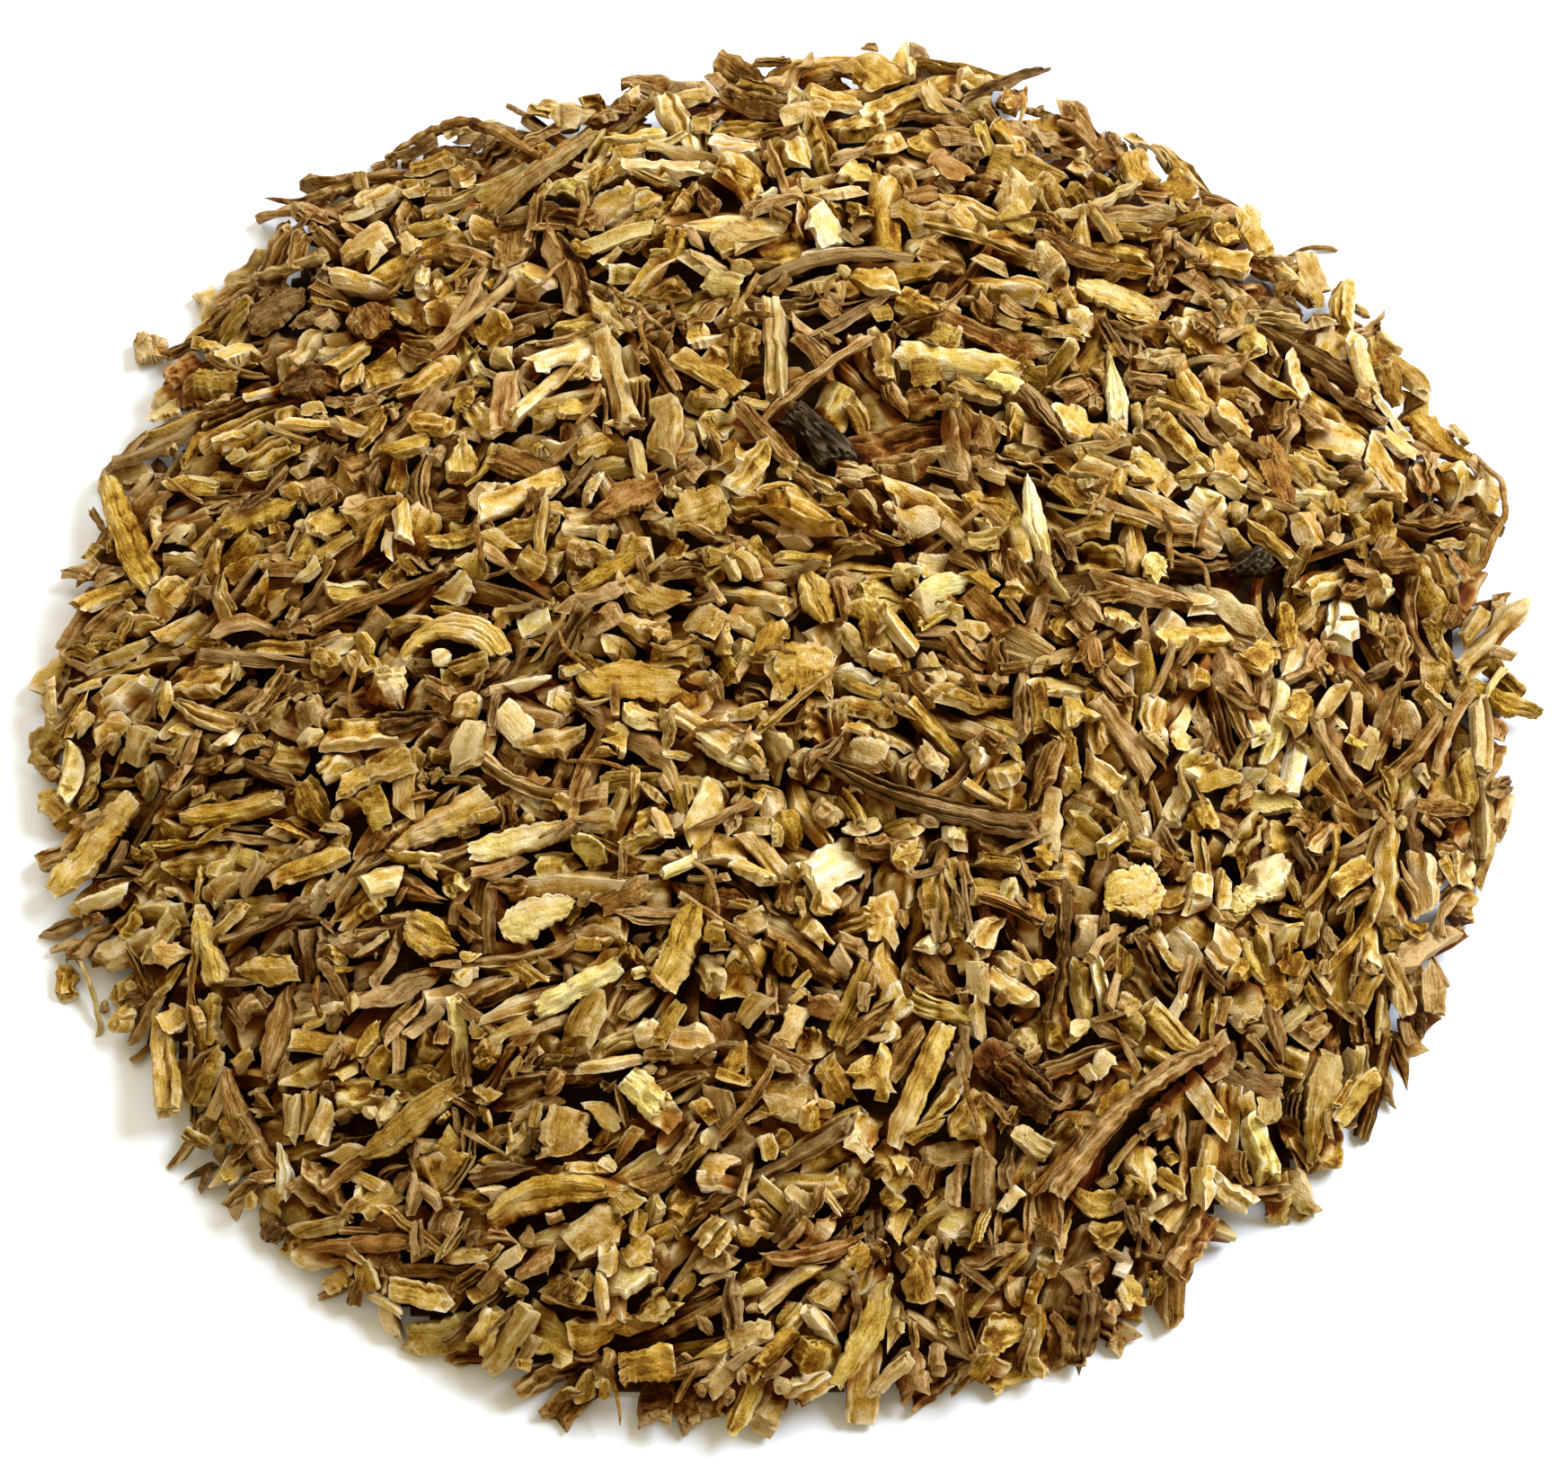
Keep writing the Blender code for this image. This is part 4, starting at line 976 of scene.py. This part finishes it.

# %% [markdown]
# ## From chips to meshes
#
# A chip that lies deep needs few faces, and one that nothing shows of needs none. How much of each
# chip is still on top is read from the finished map. Then the chips are built and joined, one mesh
# for each finish. With each point goes what the finish will need: where it was in the root before
# drying, how pale the chip is, whether the point is on a cut side, how sharp an edge it is on, and
# how deep it lies between its neighbours, which the finishes darken as painted shade. At the rim
# nothing shelters the foot of a chip, so it counts as less deep there and gets less painted shade.


# %% Which chips show
def shown_and_depth(chip):
    """The share of a chip that lies on top, and how far the map stands above its middle."""
    window, _, leave, hit = column_through(chip["place"], chip["axes"], chip["size"] / 2)
    if not hit.any():
        return 1.0, 0.0
    over = surface[window][hit] - chip["place"][2]
    return (over < leave[hit] + 0.12).mean(), over.mean()


# A chip is built roughly, in part or in full, by how many square millimetres of it show.
HARDLY_SHOWN = 0.10
SPECK = 0.7
SMALL = 3.6
TOO_DEEP = 2.4
for chip in chips:
    chip["shown"], chip["depth"] = shown_and_depth(chip)
    if chip["level"] < 3:
        area = chip["size"][0] * chip["size"][1] * chip["shown"]
        rough = chip["shown"] < HARDLY_SHOWN or area < SPECK
        chip["level"] = 0 if rough else 1 if area < SMALL else 2
kept = [chip for chip in chips if chip["level"] or chip["depth"] < TOO_DEEP]
# The heap's upper side without its narrow gaps, to tell how deep a point lies.
roofs = 0.6 * blurred(surface, 1.4) + 0.4 * blurred(surface, 0.5)
print("kept", len(kept), "of", len(chips), " in full", sum(chip["level"] == 2 for chip in kept))


# %% Which points stand out
def edge_values(mesh):
    """How far each point stands out (to 1) or lies in (to -1) from the mean of its neighbours."""
    count = len(mesh.vertices)
    points, normals = np.empty(count * 3), np.empty(count * 3)
    mesh.vertices.foreach_get("co", points)
    mesh.vertices.foreach_get("normal", normals)
    points, normals = points.reshape(-1, 3), normals.reshape(-1, 3)
    ends = np.empty(len(mesh.edges) * 2, dtype=np.int32)
    mesh.edges.foreach_get("vertices", ends)
    a, b = ends[::2], ends[1::2]
    step = np.linalg.norm(points[a] - points[b], axis=1)
    neighbours = np.bincount(a, minlength=count) + np.bincount(b, minlength=count)
    reach = np.bincount(a, step, count) + np.bincount(b, step, count)
    mean = np.stack([np.bincount(a, points[b, k], count) + np.bincount(b, points[a, k], count)
                     for k in range(3)], axis=1) / neighbours[:, None]
    step = reach / neighbours
    out = ((points - mean) * normals).sum(axis=1) / np.maximum(step, 0.45 * MM)
    return np.clip(out * 3.2, -1, 1)


# %% Many chips, one mesh
# Nothing dips below this height over the floor, in mm.
FLOOR_GAP = 0.03
# Faces that meet at a steeper angle than this keep a crisp edge between them.
CREASE = math.radians(34)


# Painted shade: this depth darkens the finishes between the chips, in place of the shade there.
def depth_values(points):
    """How deep points lie between the chips, from 0 to 1 at 2 mm, and less so near the rim."""
    i, j = ((points[:, k] + HALF) / CELL for k in (0, 1))
    i, j = (np.clip(index.astype(int), 0, len(axis) - 1) for index in (i, j))
    over = np.maximum(0.5 * roofs[i, j] + 0.5 * surface[i, j] - points[:, 2] - 0.3, 0)
    sheltered = np.clip(form[i, j] / 3.5, 0.3, 1)
    return np.clip(over / 2.0, 0, 1) * sheltered


def solid(name, parts):
    """One mesh object of many chips, with what the finishes need on its points."""
    points = np.concatenate([part[0] for part in parts])
    counts = np.cumsum([0] + [len(part[0]) for part in parts])
    quads = np.concatenate([part[2][0] + first for part, first in zip(parts, counts)])
    triangles = np.concatenate([part[2][1] + first for part, first in zip(parts, counts)])
    mesh = bpy.data.meshes.new(name)
    mesh.vertices.add(len(points))
    mesh.vertices.foreach_set("co", (points * MM).ravel())
    corner_points = np.concatenate((quads.ravel(), triangles.ravel()))
    mesh.loops.add(len(corner_points))
    mesh.loops.foreach_set("vertex_index", corner_points.astype(np.int32))
    mesh.polygons.add(len(quads) + len(triangles))
    starts = np.concatenate((np.arange(len(quads)) * 4, len(quads) * 4 + np.arange(len(triangles)) * 3))
    mesh.polygons.foreach_set("loop_start", starts.astype(np.int32))
    mesh.update(calc_edges=True)
    mesh.shade_smooth()
    mesh.set_sharp_from_angle(angle=CREASE)
    grain = mesh.attributes.new("grain", "FLOAT_VECTOR", "POINT")
    grain.data.foreach_set("vector", np.concatenate([part[1] for part in parts]).ravel())
    values = {"deep": depth_values(points), "edge": edge_values(mesh)}
    for column, title in enumerate(("pale", "side", "odd")):
        values[title] = np.concatenate([part[3][column] for part in parts])
    for title, value in values.items():
        mesh.attributes.new(title, "FLOAT", "POINT").data.foreach_set("value", value)
    made = bpy.data.objects.new(name, mesh)
    bpy.context.scene.collection.objects.link(made)
    return made


# %% One chip, in place
CHIP_SEED = 1000


def built(chip, number):
    """One chip's points in place, its grain coordinates, its faces and its point values."""
    own = np.random.default_rng(CHIP_SEED + number)
    if chip["kind"] == "crumb":
        points, before, faces, side = lump(own, chip["size"], chip["level"])
    else:
        points, before, faces, side = lofted(own, chip["kind"], chip["size"], chip["level"],
                                             chip["bend"], chip.get("sides"))
    low, high = points.min(axis=0), points.max(axis=0)
    if "fit" in chip:
        start, end = chip["fit"]
        points = start + (points - low) / (high - low) * (end - start)
    else:
        points = points - (low + high) / 2
    placed = points @ chip["axes"].T + chip["place"]
    placed[:, 2] = np.maximum(placed[:, 2], FLOOR_GAP)
    odd = own.random() * (0.5 if "name" in chip else 1.0)
    values = [np.full(len(points), chip["pale"]), side, np.full(len(points), odd)]
    return placed, before + own.uniform(0, 90, size=3), faces, values


# %% [markdown]
# ## Thin rootlets
#
# The finest rootlets lie on the chips like loose threads, and a few stand off the rim in bows. A
# chip's row of numbers can't make one, because it touches the heap at a few places only. So each is
# a thin tube along a smoothed line, through places given as heights above the heap.

# %% Thin rootlets
# How thick each is, and the places that it passes over, in mm, with how high it stands off there.
HAIRS = (
    (0.85, ((-33.6, 50.4, 0.6), (-30.6, 51.8, 1.6), (-27.0, 51.2, 2.0), (-23.8, 48.8, 1.6),
            (-20.6, 46.4, 0.6))),
    (0.55, ((56.0, 22.3, 0.6), (57.8, 18.6, 2.2), (57.6, 14.5, 3.0), (55.6, 10.2, 2.0),
            (52.6, 7.7, 0.4))),
    (0.42, ((-14.9, 31.9, 0.5), (-12.3, 27.8, 1.2), (-9.9, 25.9, 0.5))),
    (0.42, ((-12.3, 27.8, 1.2), (-12.0, 24.8, 1.0), (-11.5, 23.2, 0.4))),
    (0.42, ((12.8, -36.7, 0.8), (13.4, -39.5, 1.2), (14.6, -42.7, 0.4))),
    (0.42, ((-33.2, 32.4, 0.4), (-30.3, 34.9, 1.2), (-28.1, 35.6, 0.5))),
)
HAIR_SIDES = 7
HAIR_SEED = 77
# How many more are strewn on the heap, and within how many mm of its middle.
STREWN = 34
STREWN_WITHIN = 46


def hair(own, stops, thick):
    """A thin bent rootlet through a few places above the heap."""
    stops = np.array(stops, float)
    i, j = ((stops[:, k] + HALF) / CELL for k in (0, 1))
    stops[:, 2] += roofs[i.astype(int), j.astype(int)]
    along = np.linspace(0, len(stops) - 1, 9 * (len(stops) - 1) + 1)
    known = np.arange(len(stops))
    line = np.stack([np.interp(along, known, stops[:, k]) for k in range(3)], axis=1)
    for _ in range(6):
        line[1:-1] = (line[:-2] + 2 * line[1:-1] + line[2:]) / 4
    line += 0.12 * np.stack([waves(own, line, 3.0) for _ in range(3)], axis=1)
    ahead = np.gradient(line, axis=0)
    ahead /= np.linalg.norm(ahead, axis=1)[:, None]
    across = np.cross(ahead, (0.1, 0.2, 1.0))
    across /= np.linalg.norm(across, axis=1)[:, None]
    up = np.cross(across, ahead)
    angle = np.arange(HAIR_SIDES) * 2 * np.pi / HAIR_SIDES
    size = thick / 2 * (1.1 - 0.5 * np.abs(np.linspace(-1, 1, len(line))) ** 3)
    size *= 1 + 0.15 * waves(own, line, 1.5)
    ring = across[:, None] * np.cos(angle)[None, :, None] + up[:, None] * np.sin(angle)[None, :, None]
    body = (line[:, None] + ring * size[:, None, None]).reshape(-1, 3)
    caps = [body[:HAIR_SIDES] * 0.5 + line[0] * 0.5, body[-HAIR_SIDES:] * 0.5 + line[-1] * 0.5]
    points = np.concatenate((body, *caps, line[:1], line[-1:]))
    points[:, 2] = np.maximum(points[:, 2], FLOOR_GAP)
    grain = np.stack((np.linalg.norm(points[:, :2], axis=1), points[:, 1] * 0.1, points[:, 2]), axis=1)
    pale, side, odd = own.uniform(0.3, 0.9), 0.0, 0.5
    values = [np.full(len(points), value) for value in (pale, side, odd)]
    return points, grain, skin(len(line), HAIR_SIDES), values


own = np.random.default_rng(HAIR_SEED)
hairs = [hair(own, stops, thick) for thick, stops in HAIRS]
for _ in range(STREWN):
    spot = cell_of(*own.uniform(-STREWN_WITHIN, STREWN_WITHIN, 2))
    if not inside[spot]:
        continue
    start, way = np.array((axis[spot[0]], axis[spot[1]])), own.uniform(0, 2 * np.pi)
    stops = []
    for step in range(3):
        stops.append((*start, (0.2, own.uniform(0.6, 1.3), 0.1)[step]))
        start = start + own.uniform(1.6, 3.4) * np.array((math.cos(way), math.sin(way)))
        way += own.normal() * 0.5
    hairs.append(hair(own, stops, own.uniform(0.28, 0.55)))
print("thin rootlets:", len(hairs))

# %% [markdown]
# ## Piles
#
# A large chip stays a piece of its own, which replaces its own node. The loose chips are joined by
# finish, because a few thousand pieces would be slow to handle. Each pile has its name, its
# material slot and the finish that is seen. Chips that lie deep have few faces and form a pile of
# their own.

# %% Build and join
PILES = {
    "cream": ("cream_chips", "cream", "cream"), "straw": ("straw_chips", "straw", "straw"),
    "gold": ("golden_flakes", "gold", "gold"), "golden": ("golden_splinters", "gold", "gold"),
    "olive": ("olive_chips", "olive", "olive"), "bark": ("brown_bark_chips", "bark", "bark"),
    "barky": ("brown_bark_shards", "bark", "bark"), "russet": ("russet_chips", "russet", "russet"),
    "umber": ("dark_bark_chips", "umber", "umber"), "soot": ("black_crumbs", "soot", "soot"),
    "buried": ("buried_chips", "mixed", "bark"), "hairs": ("fine_rootlets", "bark", "bark"),
}


def pile_of(chip):
    """The large chip's own name, or the pile that a loose chip belongs to."""
    if "name" in chip:
        return chip["name"]
    if chip["level"] == 0:
        return "buried"
    if chip["finish"] == "gold" and chip["kind"] in ("splinter", "shard", "rootlet"):
        return "golden"
    if chip["finish"] == "bark" and chip["kind"] == "shard":
        return "barky"
    return chip["finish"]


started = time.time()
groups = {"hairs": hairs}
for number, chip in enumerate(kept):
    groups.setdefault(pile_of(chip), []).append(built(chip, number))
print("built in", round(time.time() - started, 1), "s")
pieces = {}
total = 0
for group, parts in groups.items():
    title = PILES[group][0] if group in PILES else group + "_skin"
    pieces[group] = solid(title, parts)
    triangles = sum(2 * len(part[2][0]) + len(part[2][1]) for part in parts)
    total += triangles
    if group in PILES:
        print(f"{title:18} {len(parts):5} chips {triangles:7} triangles")
print("triangles in all:", total)

# %% [markdown]
# ## The bed as a mesh
#
# The bed is a height map already, so it becomes a grid of quads with one corner for every third
# cell. The edge of the grid is drawn down to the floor and the underside closed.

# %% The mesh of the bed
THINNEST_BED = 0.15
FOOT = 0.05
every = slice(None, None, 3)
bed_x, bed_y, bed_z = MAP_X[every, every], MAP_Y[every, every], bed[every, every]
bm = bmesh.new()
corner = {}
for i, j in np.argwhere(bed_z > THINNEST_BED):
    corner[i, j] = bm.verts.new((bed_x[i, j] * MM, bed_y[i, j] * MM, bed_z[i, j] * MM))
for i, j in list(corner):
    square = [corner.get((i + a, j + b)) for a, b in ((0, 0), (1, 0), (1, 1), (0, 1))]
    if all(square):
        bm.faces.new(square)
bmesh.ops.delete(bm, geom=[v for v in bm.verts if not v.link_faces], context="VERTS")
skirt = bmesh.ops.extrude_edge_only(bm, edges=[e for e in bm.edges if e.is_boundary])["geom"]
for v in skirt:
    if isinstance(v, bmesh.types.BMVert):
        v.co.z = FOOT * MM
bmesh.ops.holes_fill(bm, edges=[e for e in bm.edges if e.is_boundary])
mesh = bpy.data.meshes.new("packed_fines")
bm.to_mesh(mesh)
bm.free()
mesh.shade_smooth()
bed_piece = bpy.data.objects.new("packed_fines", mesh)
bpy.context.scene.collection.objects.link(bed_piece)
print("bed of fines:", len(mesh.polygons), "faces")

# %% [markdown]
# ## Finishes
#
# Root wood is made of fibres that run along the grain, so every pattern is stretched along the
# grain coordinates. Fibres come at two sizes, blotches break them up, fine dark pits are the root's oil
# ducts, and edges are pale, partly from wear and partly as a painted highlight. Bark finishes have deeper
# furrows.


# %% A wire for shader sums
class Wire:
    """One output of a shader node. Sums written with it add Math nodes."""

    def __init__(self, tree, socket=None):
        self.tree, self.socket = tree, socket

    def node(self, kind, settings=None, inputs=None, output=0):
        """Adds a node: its settings are set first, then the values or links of its sockets."""
        made = self.tree.nodes.new("ShaderNode" + kind)
        for title, value in (settings or {}).items():
            if title == "stops":
                ramp = made.color_ramp.elements
                while len(ramp) < len(value):
                    ramp.new(0.5)
                for stop, (where, colour) in zip(ramp, value):
                    stop.position, stop.color = where, (*colour, 1.0)
            else:
                setattr(made, title, value)
        for title, value in (inputs or {}).items():
            socket = made.inputs[title] if isinstance(title, int) else next(
                s for s in made.inputs if title in (s.identifier, s.name))
            if isinstance(value, Wire):
                self.tree.links.new(value.socket, socket)
            else:
                socket.default_value = value
        return Wire(self.tree, made.outputs[output])

    def sum(self, operation, first, second, clamp=False):
        """A Math node on two values, either of which may be a wire."""
        return self.node("Math", {"operation": operation, "use_clamp": clamp}, {0: first, 1: second})

    def __add__(self, other):
        return self.sum("ADD", self, other)

    __radd__ = __add__

    def __sub__(self, other):
        return self.sum("SUBTRACT", self, other)

    def __rsub__(self, other):
        return self.sum("SUBTRACT", other, self)

    def __mul__(self, other):
        return self.sum("MULTIPLY", self, other)

    __rmul__ = __mul__

    def clamped(self):
        """The value, kept between 0 and 1."""
        return self.sum("ADD", self, 0.0, clamp=True)

    def mixed(self, first, second, blend="MIX"):
        """Two colours mixed by this value."""
        return self.node("Mix", {"data_type": "RGBA", "blend_type": blend},
                         {"Factor_Float": self, "A_Color": first, "B_Color": second}, 2)


def linear(red, green, blue):
    """A colour as a screen names it, in the numbers that light adds up in."""
    return tuple(((c + 0.055) / 1.055) ** 2.4 if c > 0.04 else c / 12.92 for c in (red, green, blue))


# %% [markdown]
# ## From pale flesh to bark
#
# Nine finishes share one recipe. They differ in three colours and in how much bark they show. A
# tone from 0 to 1 adds up the chip's own paleness, its fibres, threads, blotches and grit, gains on
# edges, partly as wear and partly as a painted highlight, and loses in creases as painted shade. A
# ramp turns it into colour, so that dark and light places differ in hue too. What lies deep is
# darkened and tinted at the end as painted shade.

# %% Root wood and bark
LOOKS = {
    "cream": dict(dark=(0.51, 0.39, 0.12), mid=(0.79, 0.72, 0.42), light=(0.85, 0.825, 0.74), bark=0.0),
    "straw": dict(dark=(0.47, 0.32, 0.08), mid=(0.73, 0.62, 0.29), light=(0.83, 0.785, 0.68), bark=0.0),
    "gold": dict(dark=(0.41, 0.255, 0.04), mid=(0.67, 0.54, 0.205), light=(0.815, 0.75, 0.60), bark=0.1),
    "olive": dict(dark=(0.34, 0.21, 0.03), mid=(0.59, 0.465, 0.175), light=(0.75, 0.68, 0.50), bark=0.4),
    "bark": dict(dark=(0.28, 0.16, 0.03), mid=(0.515, 0.375, 0.16), light=(0.71, 0.61, 0.43), bark=1.0),
    "russet": dict(dark=(0.32, 0.16, 0.04), mid=(0.555, 0.395, 0.18), light=(0.72, 0.615, 0.43), bark=0.5),
    "umber": dict(dark=(0.185, 0.10, 0.016), mid=(0.39, 0.275, 0.12), light=(0.59, 0.49, 0.33), bark=1.0),
    "soot": dict(dark=(0.07, 0.05, 0.02), mid=(0.18, 0.14, 0.09), light=(0.38, 0.34, 0.27), bark=0.8),
    # The bed's finish: its dark colours are painted shade for the gaps between the chips.
    "mixed": dict(dark=(0.14, 0.06, 0.00), mid=(0.24, 0.13, 0.01), light=(0.36, 0.23, 0.06), bark=0.4),
}
# Painted shade: what is left of the colour from the top of the heap to 2 mm down, where red stays longest.
SHADES = (
    (0.0, (1.0, 1.0, 1.0)), (0.25, (0.71, 0.52, 0.31)), (0.5, (0.43, 0.21, 0.07)),
    (1.0, (0.19, 0.05, 0.01)),
)
# How much of a finish's dark colour is left in its darkest pores, in red, green and blue.
PORES = (0.52, 0.37, 0.22)


def root_finish(name, look):
    """The material of one finish of root."""
    material = bpy.data.materials.new("root_" + name)
    material.use_nodes = True
    tree = material.node_tree
    shader = tree.nodes["Principled BSDF"]
    start = Wire(tree)

    def value(title):
        """One of the numbers kept on the points."""
        return start.node("Attribute", {"attribute_name": title}, output=2)

    if name == "mixed":
        place = start.node("TexCoord", output=3)
        grain = start.node("VectorMath", {"operation": "SCALE"}, {0: place, "Scale": 1000.0})
    else:
        grain = start.node("Attribute", {"attribute_name": "grain"}, output=1)

    def stretched(along, across):
        """The grain coordinates, scaled along and across the grain."""
        return start.node("VectorMath", {"operation": "MULTIPLY"}, {0: grain, 1: (along, across, across)})

    def noise(vector, scale, detail=2.0, rough=0.5):
        """A random pattern from 0 to 1."""
        return start.node("TexNoise", None, {"Vector": vector, "Scale": scale, "Detail": detail,
                                             "Roughness": rough})

    fibres = noise(stretched(0.25, 4.2), 1.0, 3.0, 0.6)
    streaks = noise(stretched(0.12, 1.6), 1.0, 1.0)
    threads = noise(stretched(0.7, 11.0), 1.0, 2.0)
    blotches = noise(grain, 0.75, 2.0)
    broad = noise(grain, 0.22, 1.0)
    grit = noise(grain, 6.0, 2.0, 0.7)
    knobs = noise(stretched(1.3, 2.4), 1.0, 3.0, 0.65)
    pits = start.node("TexVoronoi", None, {"Vector": stretched(0.8, 1.6), "Scale": 1.5})
    pit = (1.0 - pits * 6.0).clamped() * ((blotches - 0.48) * 6.0).clamped()
    tone = (value("pale") - 0.5) * 0.38 + 0.53 + value("side") * 0.18 * look["bark"]
    tone = tone + (fibres - 0.5) * (0.20 + look["bark"] * 0.8) + (threads - 0.5) * 0.24
    tone = tone + (blotches - 0.5) * 0.75 + (broad - 0.5) * 0.5 + (grit - 0.5) * 0.6
    tone = tone + (streaks - 0.5) * (0.15 + look["bark"] * 0.3) + (knobs - 0.5) * 0.30
    edge = value("edge")
    # Edges are lightened partly as wear and partly as a painted highlight; creases are darkened as painted
    # shade.
    worn_and_highlight = ((edge - 0.17 + (knobs - 0.5) * 0.3 + (grit - 0.5) * 0.3) * 1.8).clamped()
    crease_shade = (edge * -1.0 - 0.10).clamped()
    tone = (tone + worn_and_highlight * 0.36 - crease_shade * 0.30).clamped()
    pores = [share * left for share, left in zip(look["dark"], PORES)]
    colour = tone.node("ValToRGB", {"stops": (
        (0.0, linear(*pores)), (0.26, linear(*look["dark"])), (0.54, linear(*look["mid"])),
        (1.0, linear(*look["light"])))}, {0: tone})
    odd = value("odd")
    reddish = ((odd - 0.80) * 5.0).clamped() * 0.4
    greenish = ((0.28 - odd) * 3.6).clamped() * 0.5
    colour = reddish.mixed(colour, (1.0, 0.86, 0.70, 1.0), "MULTIPLY")
    colour = greenish.mixed(colour, (0.92, 0.97, 0.68, 1.0), "MULTIPLY")
    stain = ((noise(grain, 0.45, 2.0, 0.6) - 0.52) * 7.0).clamped()
    colour = (stain * 0.55).mixed(colour, (0.74, 0.58, 0.40, 1.0), "MULTIPLY")
    colour = (pit * 0.7).mixed(colour, (0.20, 0.11, 0.04, 1.0), "MULTIPLY")
    # Painted shade: points that lie deep between the chips are darkened and tinted by the SHADES ramp.
    if name != "mixed":
        shade = start.node("ValToRGB", {"stops": SHADES}, {0: value("deep")})
        colour = start.node("Mix", {"data_type": "RGBA", "blend_type": "MULTIPLY"},
                            {"Factor_Float": 1.0, "A_Color": colour, "B_Color": shade}, 2)
    rough = 0.50 + (grit - 0.5) * 0.3 + look["bark"] * 0.10 - worn_and_highlight * 0.08
    relief = fibres * (0.4 + look["bark"]) + knobs * 0.8 + threads * 0.2 + grit * 0.3 - pit * 0.5
    bump = start.node("Bump", None, {"Strength": 0.9, "Distance": 0.00023, "Height": relief})
    for title, wire in (("Base Color", colour), ("Roughness", rough), ("Normal", bump)):
        tree.links.new(wire.socket, shader.inputs[title])
    shader.inputs["Specular IOR Level"].default_value = 0.07
    shader.inputs["Specular Tint"].default_value = (1.0, 0.80, 0.50, 1.0)
    return material


finishes = {name: root_finish(name, look) for name, look in LOOKS.items()}
print("finishes:", ", ".join(finishes))

# %% [markdown]
# ## Each piece on its node
#
# A large chip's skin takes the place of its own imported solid. Every pile, and the bed, takes the
# place of the one solid of small chips. All of them ride on the heap's only body.

# %% Ride, replace and finish
for group, piece in pieces.items():
    if group in slots:
        node, slot, finish = group, slots[group], slots[group]
    else:
        node = "small_chips"
        slot, finish = PILES[group][1:]
    piece.data.materials.append(finishes[finish])
    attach(piece, "root")
    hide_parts(node)
# The bed's dark finish is painted shade where it shows between the chips.
bed_piece.data.materials.append(finishes["mixed"])
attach(bed_piece, "root")
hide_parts("small_chips")

# %% [markdown]
# ## Floor, light and camera
#
# The heap is seen in soft daylight that comes from the right and a little from behind. One large
# soft lamp does that, a weak wide one from behind on the left keeps the far rim readable, and a
# pale surround fills the rest.

# %% Floor and light
bpy.ops.mesh.primitive_plane_add(size=4.0, location=(0, 0, 0))
floor = bpy.context.object
floor.name = "pale_floor"
paint = bpy.data.materials.new("pale_paint")
paint.use_nodes = True
paint.node_tree.nodes["Principled BSDF"].inputs["Base Color"].default_value = (0.76, 0.83, 0.92, 1.0)
paint.node_tree.nodes["Principled BSDF"].inputs["Roughness"].default_value = 0.7
floor.data.materials.append(paint)


def lamp(name, place, size, watts, colour):
    """A soft rectangular lamp that points at the heap."""
    light = bpy.data.lights.new(name, "AREA")
    light.shape = "RECTANGLE"
    light.size, light.size_y = size
    light.energy = watts
    light.color = colour
    made = bpy.data.objects.new(name, light)
    made.location = place
    made.rotation_euler = (-Vector(place)).to_track_quat("-Z", "Y").to_euler()
    bpy.context.scene.collection.objects.link(made)


lamp("window", (0.50, 0.24, 0.50), (0.36, 0.36), 8.75, (0.945, 1.01, 1.16))
lamp("far_fill", (-0.30, 0.60, 0.55), (0.6, 0.6), 4.0, (0.99, 0.99, 1.0))

# %% Surround
world = bpy.data.worlds.new("surround")
world.use_nodes = True
world.node_tree.nodes["Background"].inputs["Color"].default_value = (1.0, 0.80, 0.49, 1.0)
world.node_tree.nodes["Background"].inputs["Strength"].default_value = 0.78
bpy.context.scene.world = world
bpy.context.scene.view_settings.view_transform = "Standard"

# %% [markdown]
# The camera stands 40 cm away and looks down at 65 degrees: the heap's outline and its chips are
# foreshortened by about that much. Its lens makes the heap fill the picture.

# %% Camera
LOOK_AT = Vector((-0.67, -5.2, 5.0)) * MM
DISTANCE = 400 * MM
ELEVATION = math.radians(65)
SENSOR = 36.0
LENS = 115.9
camera_data = bpy.data.cameras.new("camera")
camera_data.sensor_width = SENSOR
camera_data.lens = LENS
camera_data.clip_start, camera_data.clip_end = 0.01, 10.0
camera = bpy.data.objects.new("camera", camera_data)
away = Vector((0, -math.cos(ELEVATION), math.sin(ELEVATION)))
camera.location = LOOK_AT + away * DISTANCE
camera.rotation_euler = (-away).to_track_quat("-Z", "Y").to_euler()
bpy.context.scene.collection.objects.link(camera)
bpy.context.scene.camera = camera
